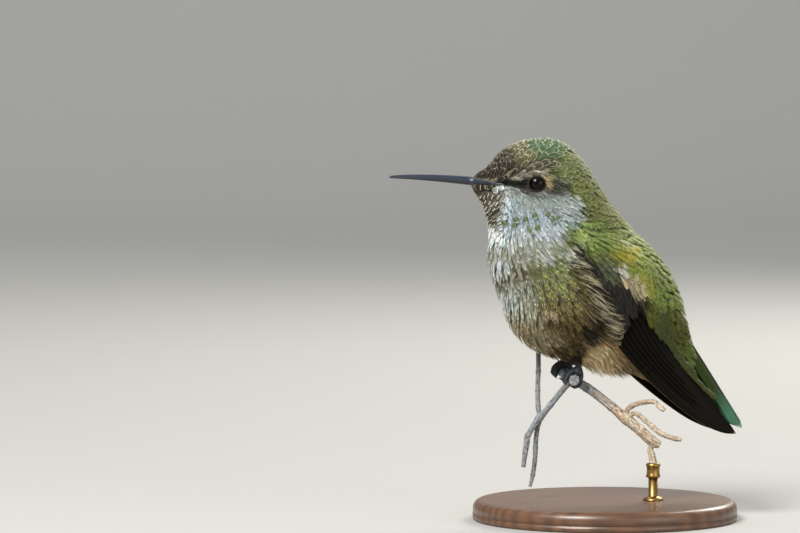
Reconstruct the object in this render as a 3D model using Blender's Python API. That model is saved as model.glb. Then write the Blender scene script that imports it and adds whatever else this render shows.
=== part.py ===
"""Perched hummingbird, a female Anna's, as a still life-size museum model on a twig and a display stand.

Lengths are in millimetres and become metres when a mesh is made. +Z is up, the bird faces -X, its left
side is at -Y, and the origin is the centre of the stand base's underside.
"""

import math
from collections import namedtuple

import bmesh
import bpy
import numpy as np
from mathutils import Matrix, Vector

MM = 0.001
GAP = 0.3  # clearance between two pieces that touch

# Display stand
BASE_RADIUS = 27.0
BASE_HEIGHT = 4.0
BASE_BEVEL = 0.9
ROD_RADIUS = 0.95
COLLAR_RADIUS = 1.5
COLLAR_HEIGHT = 3.0
COLLAR_TOP = 11.6

# Twig: the bird grips a short cross stub at the top of a fork
PERCH_TURN = math.radians(-10.0)  # heading of the fork's plane, away from the bird's own
FORK = Vector((-7.15, -0.3, 0.0))
GRIP_RADIUS = 1.1
# Knots along the stub's middle, from its near end on the bird's left to the far end
GRIP = (
    (-7.65, -5.7, 28.75),
    (-7.4, -3.6, 28.9),
    (-7.6, 0.0, 29.2),
    (-8.1, 3.6, 29.9),
    (-8.4, 5.2, 30.3),
)

# Bill
BILL_TIP_X = -44.8
BILL_GAPE_X = -22.0
BILL_TIP_Z = 70.3
BILL_GAPE_Z = 68.55
BILL_ARCH = 0.25  # how far the middle of the bill rises over its chord
BILL_DROOP = 0.25  # how far the last of the tip bends down
BILL_GAPE_DEPTH = 2.15
BILL_GAPE_WIDTH = 2.7
BILL_TIP_DEPTH = 0.32
BILL_PARTING = 0.35  # the line between the mandibles, a share of half the depth below the middle
BILL_GAP = 0.1

# Eye
EYE_X, EYE_Y, EYE_Z = -15.5, 5.75, 68.75
EYE_RADIUS = 2.05

# Tail
TAIL_ROOT = Vector((13.0, 0.0, 43.0))
TAIL_TIP = Vector((28.5, 0.0, 18.6))
TAIL_ROOT_HALF_WIDTH = 2.4
TAIL_TIP_HALF_WIDTH = 4.0
TAIL_THICKNESS = 1.0
TAIL_ROOF = 2.1  # how far the outer feathers hang below the middle pair
TAIL_NOTCH = 1.1  # the middle pair's shortfall from the longest feathers
TAIL_FEATHERS_A_SIDE = 5

# Legs
LEG_Y = 3.6
ANKLE = Vector((1.1, 0.0, 2.4))  # from the stub's middle to the root of the toes
LEG_RISE = Vector((-1.3, 2.0, 4.6))  # from the ankle up and outwards to the top, inside the belly
LEG_RADIUS = 0.6
TOE_RADIUS = 0.5
CLAW_TIP_RADIUS = 0.1
TOE_SPLAY = 0.95
# Knots of a front toe and of the hind toe, as (angle in degrees, distance) round the stub's middle, and
# the reach of each toe as a share of the front knots
FRONT_TOE = ((62, 2.7), (90, 2.25), (122, 2.1), (155, 2.1), (186, 2.3), (203, 2.9), (213, 3.6))
HIND_TOE = ((62, 2.7), (32, 2.15), (2, 2.0), (-35, 1.95), (-70, 1.9), (-100, 1.9), (-125, 2.1))
TOES = (
    ("inner", -1.0, FRONT_TOE, 0.88),
    ("middle", 0.0, FRONT_TOE, 1.0),
    ("outer", 1.0, FRONT_TOE, 0.92),
    ("hind", -0.1, HIND_TOE, 1.0),
)

BODY_SIDES = 28
BODY_RINGS_PER_STATION = 2

# Stations of the body's outline with all its feathers, from the bill to the tail coverts. back and front
# are (x, z) on the mid line, and low_bulk above 0 moves the widest place towards the front.
Station = namedtuple("Station", "name back front half_width low_bulk")
STATIONS = (
    Station("bill root", (-27.3, 70.5), (-28.0, 67.9), 1.3, 0.0),
    Station("lore", (-23.8, 72.4), (-26.9, 66.6), 3.3, 0.0),
    Station("forehead", (-20.9, 75.5), (-25.8, 65.0), 4.9, 0.0),
    Station("crown", (-15.7, 77.5), (-24.8, 62.8), 6.6, -0.05),
    Station("eye", (-10.2, 77.2), (-24.2, 60.4), 7.5, -0.05),
    Station("cheek", (-6.2, 74.7), (-24.0, 57.9), 8.1, -0.02),
    Station("nape", (-2.6, 69.9), (-24.3, 54.9), 8.7, 0.0),
    Station("neck", (1.2, 64.0), (-24.1, 51.6), 9.8, 0.05),
    Station("shoulder", (6.2, 58.5), (-22.9, 48.1), 11.2, 0.1),
    Station("breast", (11.7, 53.1), (-21.2, 43.7), 12.4, 0.12),
    Station("belly", (15.2, 46.6), (-19.1, 38.6), 12.5, 0.1),
    Station("flank", (16.8, 41.0), (-14.6, 34.6), 10.3, 0.05),
    Station("vent", (17.9, 36.6), (-7.0, 31.9), 7.3, 0.0),
    Station("undertail", (19.1, 33.4), (0.8, 30.3), 5.9, 0.0),
    Station("tail base", (20.3, 30.2), (8.2, 28.7), 4.7, 0.0),
    Station("tail coverts", (21.2, 27.6), (13.6, 25.9), 3.5, 0.0),
    Station("covert tips", (22.0, 24.9), (18.6, 23.0), 2.0, 0.0),
)
HEAD_END, NECK_END, TRUNK_END, RUMP_END = 5.6, 7.6, 12.45, 16.0


def material(name, colour, roughness, metallic=0.0):
    """A plain Principled finish for one kind of piece."""
    made = bpy.data.materials.new(name)
    made.use_nodes = True
    shader = made.node_tree.nodes["Principled BSDF"]
    shader.inputs["Base Color"].default_value = (*colour, 1.0)
    shader.inputs["Roughness"].default_value = roughness
    shader.inputs["Metallic"].default_value = metallic
    made.diffuse_color = (*colour, 1.0)
    return made


def spline(knots, t):
    """Catmull-Rom curve through equally spaced knots; t counts knots from 0."""
    knots = np.asarray(knots, float)
    last = len(knots) - 1
    i = min(max(int(math.floor(t)), 0), last - 1)
    u = t - i
    before = knots[i - 1] if i > 0 else 2 * knots[0] - knots[1]
    after = knots[i + 2] if i + 2 <= last else 2 * knots[last] - knots[last - 1]
    a, b = knots[i], knots[i + 1]
    return 0.5 * (
        2 * a
        + (b - before) * u
        + (2 * before - 5 * a + 4 * b - after) * u**2
        + (3 * a - before - 3 * b + after) * u**3
    )


def mix(a, b, share):
    return a + (b - a) * share


def finish(obj, coat, angle=35.0):
    """Gives an object its material and smooth shading with sharp rims kept."""
    obj.data.materials.append(coat)
    obj.data.shade_smooth()
    obj.data.set_sharp_from_angle(angle=math.radians(angle))
    return obj


def loft(name, rings, coat):
    """One closed solid through rings of points in millimetres, with its two ends filled."""
    shell = bmesh.new()
    loops = [[shell.verts.new(Vector(p) * MM) for p in ring] for ring in rings]
    for one, two in zip(loops, loops[1:]):
        for i in range(len(one)):
            shell.faces.new((one[i - 1], one[i], two[i], two[i - 1]))
    shell.faces.new(loops[0])
    shell.faces.new(loops[-1])
    bmesh.ops.recalc_face_normals(shell, faces=shell.faces)
    mesh = bpy.data.meshes.new(name)
    shell.to_mesh(mesh)
    shell.free()
    obj = bpy.data.objects.new(name, mesh)
    bpy.context.scene.collection.objects.link(obj)
    return finish(obj, coat)


def helper(obj):
    """Marks an object as a tool of the modelling, which isn't a piece itself."""
    obj.hide_render = True
    obj.display_type = "WIRE"
    return obj


def boolean(target, tool, operation):
    modifier = target.modifiers.new(f"{operation.lower()} {tool.name}", "BOOLEAN")
    modifier.operation = operation
    modifier.solver = "EXACT"
    modifier.object = helper(tool)


def tube(name, path, radii, coat, sides=8, step=None):
    """A round solid along a smooth curve through path, with a radius at each knot."""
    count = step or max(2, int(3 * (len(path) - 1)))
    times = np.linspace(0, len(path) - 1, count + 1)
    middle = [Vector(spline([tuple(p) for p in path], t)) for t in times]
    width = [float(spline([[r] for r in radii], t)[0]) for t in times]
    rings = []
    side = None
    for i, centre in enumerate(middle):
        ahead = (middle[min(i + 1, count)] - middle[max(i - 1, 0)]).normalized()
        if side is None:
            side = ahead.orthogonal().normalized()
        side = (side - ahead * side.dot(ahead)).normalized()
        up = ahead.cross(side)
        turns = (2 * math.pi * k / sides for k in range(sides))
        rings.append([centre + (side * math.cos(a) + up * math.sin(a)) * width[i] for a in turns])
    return loft(name, rings, coat)


# Body -----------------------------------------------------------------------------------------------


def body_ring(t, sides=BODY_SIDES):
    """The body's cross-section at station number t."""
    back_x, back_z = spline([s.back for s in STATIONS], t)
    front_x, front_z = spline([s.front for s in STATIONS], t)
    half_width, low_bulk = spline([(s.half_width, s.low_bulk) for s in STATIONS], t)
    back, front = Vector((back_x, 0, back_z)), Vector((front_x, 0, front_z))
    centre, up = (back + front) / 2, (back - front) / 2
    ring = []
    for k in range(sides):
        turn = 2 * math.pi * k / sides
        side = half_width * math.sin(turn) * (1 - low_bulk * math.cos(turn))
        ring.append(centre + up * math.cos(turn) + Vector((0, side, 0)))
    return ring


def body_length(name, start, end, coat):
    """The body between two station numbers, less half a gap where it meets the next length."""
    count = max(2, round((end - start) * BODY_RINGS_PER_STATION))
    middle = [sum(body_ring(t), Vector()) / BODY_SIDES for t in (start, end)]
    spacing = (middle[1] - middle[0]).length / (end - start)
    trim = 0.5 * GAP / spacing
    low = start + trim if start > 0 else start
    return loft(name, [body_ring(t) for t in np.linspace(low, end - trim, count + 1)], coat)


# Bill -----------------------------------------------------------------------------------------------


def bill_section(share, grow=0.0):
    """Centre, half width and half depth of the bill; share runs from the tip to behind the gape."""
    x = mix(BILL_TIP_X, BILL_GAPE_X, share)
    z = mix(BILL_TIP_Z, BILL_GAPE_Z, share) + BILL_ARCH * math.sin(math.pi * share)
    z -= BILL_DROOP * (1 - share) ** 8
    depth = mix(BILL_TIP_DEPTH, BILL_GAPE_DEPTH, share**0.62)
    width = mix(BILL_TIP_DEPTH, BILL_GAPE_WIDTH, share**1.05)
    return Vector((x, 0, z)), width / 2 + grow, depth / 2 + grow


def bill_ring(share, grow=0.0, sides=14):
    centre, half_width, half_depth = bill_section(share, grow)
    ring = []
    for k in range(sides):
        turn = 2 * math.pi * k / sides
        ring.append(centre + Vector((0, half_width * math.cos(turn), half_depth * math.sin(turn))))
    return ring


def make_bill(coat):
    """Two closed mandibles with a thin line between them."""
    shares = np.linspace(0.0, 1.0, 15) ** 1.3
    whole = [bill_ring(s) for s in shares]
    for name, above in (("bill_upper", True), ("bill_lower", False)):
        mandible = loft(name, whole, coat)
        rings = []
        for share in np.linspace(-0.05, 1.05, 12):
            centre, half_width, half_depth = bill_section(max(share, 0.0))
            centre.x = mix(BILL_TIP_X, BILL_GAPE_X, share)
            line = centre.z - BILL_PARTING * half_depth + (0.5 if above else -0.5) * BILL_GAP
            reach, drop = half_width + 1, (-3 if above else 3)
            rings.append(
                [
                    Vector((centre.x, reach, line)),
                    Vector((centre.x, -reach, line)),
                    Vector((centre.x, -reach, line + drop)),
                    Vector((centre.x, reach, line + drop)),
                ]
            )
        boolean(mandible, loft(f"{name}_parting", rings, coat), "DIFFERENCE")


# Wings ----------------------------------------------------------------------------------------------

# Knots down the folded wing, from the shoulder to the tip: the front and hind edges as (x, z), the
# distance of its middle from the mid line, how much nearer the mid line the hind edge is, the bulge of
# its outer face, and its thickness.
WingKnot = namedtuple("WingKnot", "front hind out tuck bulge thick")
WING = (
    WingKnot((-8.4, 57.6), (-4.6, 60.0), 10.1, 0.9, 0.3, 1.0),
    WingKnot((-8.4, 53.2), (2.0, 57.4), 11.3, 2.6, 0.7, 2.2),
    WingKnot((-6.6, 47.4), (8.2, 52.2), 11.7, 4.0, 1.3, 2.4),
    WingKnot((-3.4, 41.0), (10.2, 45.6), 11.3, 3.2, 1.3, 2.0),
    WingKnot((0.6, 35.4), (11.6, 40.0), 10.6, 2.6, 0.7, 1.5),
    WingKnot((6.0, 29.8), (13.6, 35.0), 8.7, 1.5, 0.5, 1.2),
    WingKnot((12.2, 24.4), (16.8, 30.4), 7.1, 0.5, 0.4, 1.0),
    WingKnot((18.3, 20.0), (21.2, 25.0), 5.9, 0.1, 0.3, 0.85),
    WingKnot((23.1, 17.8), (25.2, 20.6), 5.2, 0.0, 0.2, 0.7),
    WingKnot((26.7, 17.1), (27.3, 18.0), 4.9, 0.0, 0.1, 0.55),
)
WING_SIDES = 14
WING_PARTING = 3.1  # the knot number where the coverts' piece meets the primaries' piece
COVERT_TIMES = tuple(np.linspace(0.0, WING_PARTING - 0.03, 9))
PRIMARY_TIMES = tuple(np.linspace(WING_PARTING + 0.03, len(WING) - 1, 15))
RECESS_TIMES = (-0.03,) + COVERT_TIMES[1:] + PRIMARY_TIMES


def wing_ring(t, side, grow=0.0):
    """Lens-shaped section of the folded wing at knot number t; side is -1 on the bird's left."""
    front_x, front_z = spline([k.front for k in WING], t)
    hind_x, hind_z = spline([k.hind for k in WING], t)
    out, tuck, bulge, thick = spline([(k.out, k.tuck, k.bulge, k.thick) for k in WING], t)
    front, hind = Vector((front_x, 0, front_z)), Vector((hind_x, 0, hind_z))
    centre, reach = (front + hind) / 2, (hind - front) / 2
    stretch = 1 + grow / reach.length
    ring = []
    for k in range(WING_SIDES):
        turn = 2 * math.pi * k / WING_SIDES
        across = math.cos(turn) * stretch
        lift = out - tuck * across * 0.5 * (1 + across) + bulge * (1 - across * across)
        lift += (0.5 * thick + grow) * math.sin(turn)
        ring.append(centre + reach * across + Vector((0, side * lift, 0)))
    return ring


def wing_length(name, side, times, coat, grow=0.0):
    return loft(name, [wing_ring(t, side, grow) for t in times], coat)


# Tail -----------------------------------------------------------------------------------------------


def tail_ring(share, grow=0.0):
    """Roof-shaped section of the closed tail; share runs from its root to the tip."""
    along = (TAIL_TIP - TAIL_ROOT).normalized()
    up = along.cross(Vector((0, 1, 0))).normalized()
    half_width = mix(TAIL_ROOT_HALF_WIDTH, TAIL_TIP_HALF_WIDTH, math.sin(0.5 * math.pi * share))
    half_thick = 0.5 * TAIL_THICKNESS * mix(1.3, 0.75, share) + grow
    top, under = [], []
    steps = 2 * TAIL_FEATHERS_A_SIDE + 2
    for k in range(steps + 1):
        across = -1 + 2 * k / steps
        spread = across * (half_width + grow)
        roof = TAIL_ROOF * (spread / half_width) ** 2
        end = max(share - 0.86, 0) / 0.14
        reach = (TAIL_TIP - TAIL_ROOT).length * share
        reach += end * (TAIL_NOTCH * math.sin(math.pi * min(abs(across) * 1.25, 1)) - TAIL_NOTCH)
        edge = half_thick * math.sqrt(max(1 - across**4, 0.02))
        middle = TAIL_ROOT + along * reach + Vector((0, spread, 0)) - up * roof
        top.append(middle + up * edge)
        under.append(middle - up * edge)
    return top + under[::-1]


def make_tail(name, coat, grow=0.0, start=0.0):
    return loft(name, [tail_ring(s, grow) for s in np.linspace(start, 1.0, 11)], coat)


# Legs -----------------------------------------------------------------------------------------------



def grip_middle(y):
    """The middle of the cross stub where it passes a distance y from the mid line."""
    for one, two in zip(GRIP, GRIP[1:]):
        if y <= two[1]:
            break
    share = (y - one[1]) / (two[1] - one[1])
    return Vector(one).lerp(Vector(two), share)


def toe_path(place, knots, reach, side):
    """Centreline and radii of a toe with its claw, curled round the cross stub."""
    path, radii = [], []
    for k in range(len(knots)):
        angle, distance = spline(knots, k * reach)
        share = k / (len(knots) - 1)
        middle = grip_middle(side * (LEG_Y + place * TOE_SPLAY * min(share * 2.5, 1.0)))
        turn = math.radians(angle)
        path.append(middle + Vector((distance * math.cos(turn), 0, distance * math.sin(turn))))
        claw = max(share - 0.74, 0) / 0.26
        radii.append(mix(TOE_RADIUS * mix(1.0, 0.8, share), CLAW_TIP_RADIUS, claw))
    return path, radii


def ankle(side):
    return grip_middle(side * LEG_Y) + ANKLE


def make_foot(label, side, coat):
    """A foot: the pad below the shank with four toes and claws joined to it."""
    root = ankle(side)
    pad = (root + Vector((-0.7, 0, -0.25)), root + Vector((0, 0, 0.05)), root + Vector((0.55, 0, -0.3)))
    foot = tube(f"foot_{label}", pad, (0.42, 0.6, 0.4), coat, sides=8, step=4)
    for name, place, knots, reach in TOES:
        path, radii = toe_path(place, knots, reach, side)
        toe = tube(f"toe_{name}_{label}", path, radii, coat, sides=7, step=8)
        boolean(foot, toe, "UNION")
    return foot


def make_leg(name, side, coat, parting=0.0):
    """The feathered shank from the belly to the ankle; a parting makes the hollow round it."""
    low = ankle(side) + Vector((-0.05, 0, 0.6 + GAP))
    rise = Vector((LEG_RISE.x, side * LEG_RISE.y, LEG_RISE.z))
    top = low + rise
    path = [top, low.lerp(top, 0.45) + Vector((0.3, 0, 0)), low]
    radii = [LEG_RADIUS * 1.5 + parting, LEG_RADIUS * 1.2 + 1.5 * parting, LEG_RADIUS * 0.9 + 2.5 * parting]
    if parting:
        path.append(low - rise * 0.4)
        radii.append(LEG_RADIUS * 0.9 + 4 * parting)
    return tube(name, path, radii, coat, sides=8, step=5)


# Perch and stand ------------------------------------------------------------------------------------


def twig_point(right, height, out=0.0):
    """A place given along the fork's plane from the fork, above the floor, and behind the plane."""
    along = Vector((math.cos(PERCH_TURN), math.sin(PERCH_TURN), 0))
    across = Vector((-math.sin(PERCH_TURN), math.cos(PERCH_TURN), 0))
    return FORK + along * right + across * out + Vector((0, 0, height))


STEM_FOOT = 16.75  # from the fork to the upright rod
# Lengths of twig as (along the plane, height, depth behind the plane, radius)
TWIGS = {
    "perch_arm_long": (
        (0.85, 28.4, 0.0, 0.92),
        (4.4, 26.2, 0.0, 0.92),
        (8.9, 22.6, 0.0, 0.92),
        (10.9, 20.9, 0.0, 1.15),
        (13.6, 18.7, 0.0, 1.05),
        (16.6, 16.1, 0.0, 1.12),
        (18.1, 15.3, 0.0, 0.75),
    ),
    "perch_arm_short": (
        (-0.75, 27.6, 0.0, 0.55),
        (-1.8, 26.5, 0.0, 0.62),
        (-3.8, 24.0, 0.0, 0.6),
        (-5.3, 22.1, 0.0, 0.6),
        (-6.3, 21.0, 0.0, 0.8),
        (-7.5, 19.4, 0.0, 0.6),
        (-8.9, 17.0, 0.0, 0.55),
        (-9.0, 16.0, 0.0, 0.62),
        (-9.5, 12.6, 0.1, 0.5),
        (-9.7, 10.8, 0.2, 0.4),
    ),
    "perch_twig_rear": (
        (-6.6, 22.6, 0.9, 0.5),
        (-6.7, 26.4, 2.8, 0.5),
        (-6.5, 30.6, 5.4, 0.48),
        (-6.4, 36.2, 8.8, 0.45),
    ),
    "perch_twig_low": (
        (-6.75, 18.9, 1.2, 0.5),
        (-7.1, 16.2, 1.4, 0.48),
        (-7.3, 12.2, 1.5, 0.46),
        (-7.7, 9.1, 1.4, 0.44),
        (-8.3, 6.6, 1.3, 0.34),
    ),
    "perch_shoot_upper": (
        (11.7, 22.8, -0.3, 0.5),
        (13.1, 23.7, -1.0, 0.5),
        (15.0, 24.2, -1.9, 0.48),
        (16.9, 24.3, -2.8, 0.42),
        (17.6, 23.5, -3.3, 0.5),
        (18.8, 22.7, -3.8, 0.5),
    ),
    "perch_shoot_lower": (
        (13.1, 21.8, -0.4, 0.48),
        (15.6, 19.9, -0.7, 0.5),
        (18.0, 17.9, -1.0, 0.5),
        (20.4, 16.9, -1.3, 0.48),
        (22.4, 16.5, -1.5, 0.4),
    ),
}


def make_perch(coat):
    """The fork of dry twig, in lengths that meet end to side."""
    radii = [GRIP_RADIUS * r for r in (0.9, 1.0, 1.0, 0.95, 0.75)]
    tube("perch_grip", GRIP, radii, coat, sides=12, step=8)
    for name, knots in TWIGS.items():
        path = [twig_point(right, height, out) for right, height, out, _ in knots]
        tube(name, path, [k[3] for k in knots], coat, sides=7, step=max(6, round(1.4 * len(knots))))
    stem = (
        twig_point(STEM_FOOT - 0.55, 14.0),
        twig_point(STEM_FOOT - 0.35, 13.4),
        twig_point(STEM_FOOT, COLLAR_TOP + GAP),
    )
    tube("perch_stem", stem, (0.55, 0.72, 0.72), coat, sides=10, step=4)


def turned(name, profile, centre, coat, sides=40):
    """A turned solid from (radius, height) pairs, bottom to top, about an upright axis."""
    rings = []
    for radius, height in profile:
        turns = (2 * math.pi * k / sides for k in range(sides))
        rings.append([Vector((centre.x + radius * math.cos(a), centre.y + radius * math.sin(a), height)) for a in turns])
    return loft(name, rings, coat)


def make_stand(base_coat, metal):
    """A round base, a short rod and the collar that holds the twig's stem."""
    rim = [(BASE_RADIUS - 0.4, 0.0), (BASE_RADIUS, 0.5)]
    for k in range(4):
        turn = math.radians(90 * k / 3)
        inset = BASE_BEVEL * (1 - math.cos(turn))
        rim.append((BASE_RADIUS - inset, BASE_HEIGHT - BASE_BEVEL * (1 - math.sin(turn))))
    turned("stand_base", rim, Vector(), base_coat)
    foot = twig_point(STEM_FOOT, 0)
    collar_low = COLLAR_TOP - COLLAR_HEIGHT
    rod = [(ROD_RADIUS, BASE_HEIGHT + GAP), (ROD_RADIUS, collar_low - GAP)]
    turned("stand_rod", rod, foot, metal, sides=16)
    bead = 0.3
    collar = [
        (COLLAR_RADIUS - bead, collar_low),
        (COLLAR_RADIUS, collar_low + bead),
        (COLLAR_RADIUS, COLLAR_TOP - bead),
        (COLLAR_RADIUS - bead, COLLAR_TOP),
    ]
    turned("stand_collar", collar, foot, metal, sides=20)


# Assembly -------------------------------------------------------------------------------------------


def make_eyes(head, coat):
    for label, side in (("left", -1), ("right", 1)):
        for name, radius in ((f"eye_{label}", EYE_RADIUS), (f"eye_{label}_socket", EYE_RADIUS + GAP)):
            ball = bmesh.new()
            place = Matrix.Translation(Vector((EYE_X, side * EYE_Y, EYE_Z)) * MM) @ Matrix.Rotation(math.pi / 2, 4, "X")
            bmesh.ops.create_uvsphere(ball, u_segments=14, v_segments=8, radius=radius * MM, matrix=place)
            mesh = bpy.data.meshes.new(name)
            ball.to_mesh(mesh)
            ball.free()
            obj = bpy.data.objects.new(name, mesh)
            bpy.context.scene.collection.objects.link(obj)
            finish(obj, coat)
            if radius > EYE_RADIUS:
                boolean(head, obj, "DIFFERENCE")


def make_bird():
    crown = material("crown feathers", (0.24, 0.27, 0.15), 0.55)
    nape = material("nape feathers", (0.27, 0.31, 0.17), 0.55)
    breast = material("breast feathers", (0.55, 0.53, 0.45), 0.75)
    vent = material("vent feathers", (0.60, 0.47, 0.30), 0.8)
    green = material("covert feathers", (0.22, 0.33, 0.10), 0.45)
    dark = material("flight feathers", (0.035, 0.032, 0.028), 0.45)
    rectrix = material("tail feathers", (0.06, 0.17, 0.10), 0.4)
    horn = material("bill horn", (0.02, 0.022, 0.026), 0.3)
    scute = material("foot scutes", (0.03, 0.03, 0.035), 0.5)
    eye = material("eye", (0.01, 0.008, 0.006), 0.05)

    head = body_length("head", 0.0, HEAD_END, crown)
    body_length("neck", HEAD_END, NECK_END, nape)
    neck = bpy.data.objects["neck"]
    trunk = body_length("trunk", NECK_END, TRUNK_END, breast)
    rump = body_length("rump", TRUNK_END, RUMP_END, vent)

    make_bill(horn)
    recess = [bill_ring(s, GAP) for s in np.linspace(0.0, 1.0, 14)]
    end = [p + Vector((2 * GAP, 0, 0)) for p in recess[-1]]
    boolean(head, loft("bill_recess", recess + [end], horn), "DIFFERENCE")
    make_eyes(head, eye)

    boolean(rump, make_tail("tail_recess_rump", rectrix, 1.4 * GAP, -0.02), "DIFFERENCE")
    boolean(trunk, make_tail("tail_recess_trunk", rectrix, 1.4 * GAP, -0.02), "DIFFERENCE")
    make_tail("tail", rectrix)

    for label, side in (("left", -1), ("right", 1)):
        wing_length(f"wing_{label}_coverts", side, COVERT_TIMES, green)
        wing_length(f"wing_{label}_primaries", side, PRIMARY_TIMES, dark)
        for flesh in (neck, trunk, rump):
            recess = wing_length(f"wing_{label}_recess_{flesh.name}", side, RECESS_TIMES, dark, 1.2 * GAP)
            boolean(flesh, recess, "DIFFERENCE")
        make_foot(label, side, scute)
        make_leg(f"leg_{label}", side, scute)
        boolean(trunk, make_leg(f"leg_{label}_socket", side, scute, GAP), "DIFFERENCE")


def clear_scene():
    for obj in list(bpy.data.objects):
        bpy.data.objects.remove(obj)


clear_scene()
make_bird()
make_perch(material("dry twig", (0.50, 0.44, 0.37), 0.8))
make_stand(material("base", (0.07, 0.045, 0.03), 0.4), material("rod", (0.45, 0.42, 0.36), 0.35, 1.0))
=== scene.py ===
import math

import bpy
import numpy as np
from bpy.props import FloatProperty, FloatVectorProperty, PointerProperty
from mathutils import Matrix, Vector


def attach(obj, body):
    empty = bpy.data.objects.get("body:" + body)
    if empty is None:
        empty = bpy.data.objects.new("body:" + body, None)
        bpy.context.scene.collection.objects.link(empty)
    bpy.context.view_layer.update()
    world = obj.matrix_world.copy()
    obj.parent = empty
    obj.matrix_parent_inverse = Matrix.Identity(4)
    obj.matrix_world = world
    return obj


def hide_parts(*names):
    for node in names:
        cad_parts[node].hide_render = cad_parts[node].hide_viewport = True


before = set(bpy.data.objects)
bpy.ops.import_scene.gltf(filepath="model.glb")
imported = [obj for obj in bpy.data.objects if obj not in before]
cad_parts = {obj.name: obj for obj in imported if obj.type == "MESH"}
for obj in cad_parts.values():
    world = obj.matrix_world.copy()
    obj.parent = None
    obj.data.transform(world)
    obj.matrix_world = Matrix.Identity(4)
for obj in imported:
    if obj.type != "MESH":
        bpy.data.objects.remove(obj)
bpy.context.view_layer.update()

bl_info = {
    "name": "Perched hummingbird",
    "version": (1, 0, 0),
    "blender": (4, 5, 0),
    "location": "View3D > Sidebar > Hummingbird",
    "description": "Dresses the solids of a life-size perched hummingbird on its display stand",
    "category": "Object",
}

# All lengths below are millimetres, and make_piece turns them into metres.
# The bird faces -X with its left side towards -Y, and the base stands on z = 0.
MM = 0.001

# ---------------------------------------------------------------- the stand and the perch
# The rod stands at STEM_FOOT along the perch's plane, and FORK is where its two arms part.
BASE_RADIUS = 27.0
BASE_HEIGHT = 4.0
ROD_RADIUS = 0.95
COLLAR_RADIUS = 1.5
COLLAR_HEIGHT = 3.0
COLLAR_TOP = 11.6

PERCH_TURN = math.radians(-10.0)
ALONG_TWIG = np.array([math.cos(PERCH_TURN), math.sin(PERCH_TURN), 0.0])
ACROSS_TWIG = np.array([-math.sin(PERCH_TURN), math.cos(PERCH_TURN), 0.0])
FORK = np.array([-7.15, -0.3, 0.0])
STEM_FOOT = 16.75
GRIP = [(-7.65, -5.7, 28.75), (-7.4, -3.6, 28.9), (-7.6, 0.0, 29.2), (-8.1, 3.6, 29.9), (-8.4, 5.2, 30.3)]
GRIP_RADII = [0.99, 1.1, 1.1, 1.05, 0.83]

# Each twig is a row of (along the perch, height, behind the perch's plane, radius).
TWIGS = {
    "arm_long": [
        (-1.2, 29.3, 0, 0.9), (0.85, 28.4, 0, 0.92), (4.4, 26.2, 0, 0.92), (8.9, 22.6, 0, 0.92),
        (10.9, 20.9, 0, 1.15), (13.6, 18.7, 0, 1.05), (16.6, 16.1, 0, 1.12), (18.1, 15.3, 0, 0.75),
    ],
    "arm_short": [
        (0.3, 28.6, 0, 0.55), (-0.75, 27.6, 0, 0.55), (-1.8, 26.5, 0, 0.62), (-3.8, 24.0, 0, 0.6),
        (-5.3, 22.1, 0, 0.6), (-6.3, 21.0, 0, 0.8), (-7.5, 19.4, 0, 0.6), (-8.9, 17.0, 0, 0.55),
        (-9.0, 16.0, 0, 0.62), (-9.5, 12.6, 0.1, 0.5), (-9.7, 10.8, 0.2, 0.4),
    ],
    "twig_rear": [
        (-6.3, 21.0, 0.1, 0.5), (-6.6, 22.6, 0.9, 0.5), (-6.7, 26.4, 2.8, 0.5), (-6.5, 30.6, 5.4, 0.48),
        (-6.4, 36.2, 8.8, 0.45),
    ],
    "twig_low": [
        (-6.3, 20.6, 0.2, 0.5), (-6.75, 18.9, 1.2, 0.5), (-7.1, 16.2, 1.4, 0.48), (-7.3, 12.2, 1.5, 0.46),
        (-7.7, 9.1, 1.4, 0.44), (-8.3, 6.6, 1.3, 0.34),
    ],
    "shoot_upper": [
        (10.9, 21.4, 0, 0.5), (11.7, 22.8, -0.3, 0.5), (13.1, 23.7, -1, 0.5), (15, 24.2, -1.9, 0.48),
        (16.9, 24.3, -2.8, 0.42), (17.6, 23.5, -3.3, 0.5), (18.8, 22.7, -3.8, 0.5),
    ],
    "shoot_lower": [
        (11.6, 21.0, 0.1, 0.5), (13.1, 21.8, -0.4, 0.48), (15.6, 19.9, -0.7, 0.5), (18, 17.9, -1, 0.5),
        (20.4, 16.9, -1.3, 0.48), (22.4, 16.5, -1.5, 0.4),
    ],
    "stem": [
        (16.2, 15.9, 0, 0.55), (16.2, 14.0, 0, 0.58), (16.4, 13.4, 0, 0.72), (16.75, 11.8, 0, 0.74),
        (16.75, 9.4, 0, 0.7),
    ],
}

# ---------------------------------------------------------------- bill, eyes and feet
BILL_TIP_X = -44.8
BILL_GAPE_X = -22.0
BILL_TIP_Z = 70.3
BILL_GAPE_Z = 68.55
BILL_ARCH = 0.25
BILL_DROOP = 0.25
BILL_GAP = 0.03
BILL_BARE = 0.74

EYE_PLACE = (-15.5, 5.75, 68.75)
EYE_RADIUS = 2.05
EYE_OPENING = 1.62
EYE_FROM = 5.0
# The middle of the opening between the lids, in side view.
OPENING_MIDDLE = np.array([EYE_PLACE[0] - 0.4, EYE_PLACE[2]])

LEG_Y = 3.6
ANKLE = (1.1, 0.0, 2.4)
LEG_RISE = (-1.3, 2.0, 4.6)
LEG_RADIUS = 0.6
TOE_RADIUS = 0.5
CLAW_TIP_RADIUS = 0.1
TOE_SPLAY = 0.95
# A toe's middle line is a row of (angle round the twig in degrees, distance from its middle).
FRONT_TOE = [(62, 2.7), (90, 2.25), (122, 2.1), (155, 2.1), (186, 2.3), (203, 2.9), (213, 3.6)]
HIND_TOE = [(62, 2.7), (32, 2.15), (2, 2.0), (-35, 1.95), (-70, 1.9), (-100, 1.9), (-125, 2.1)]
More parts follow.
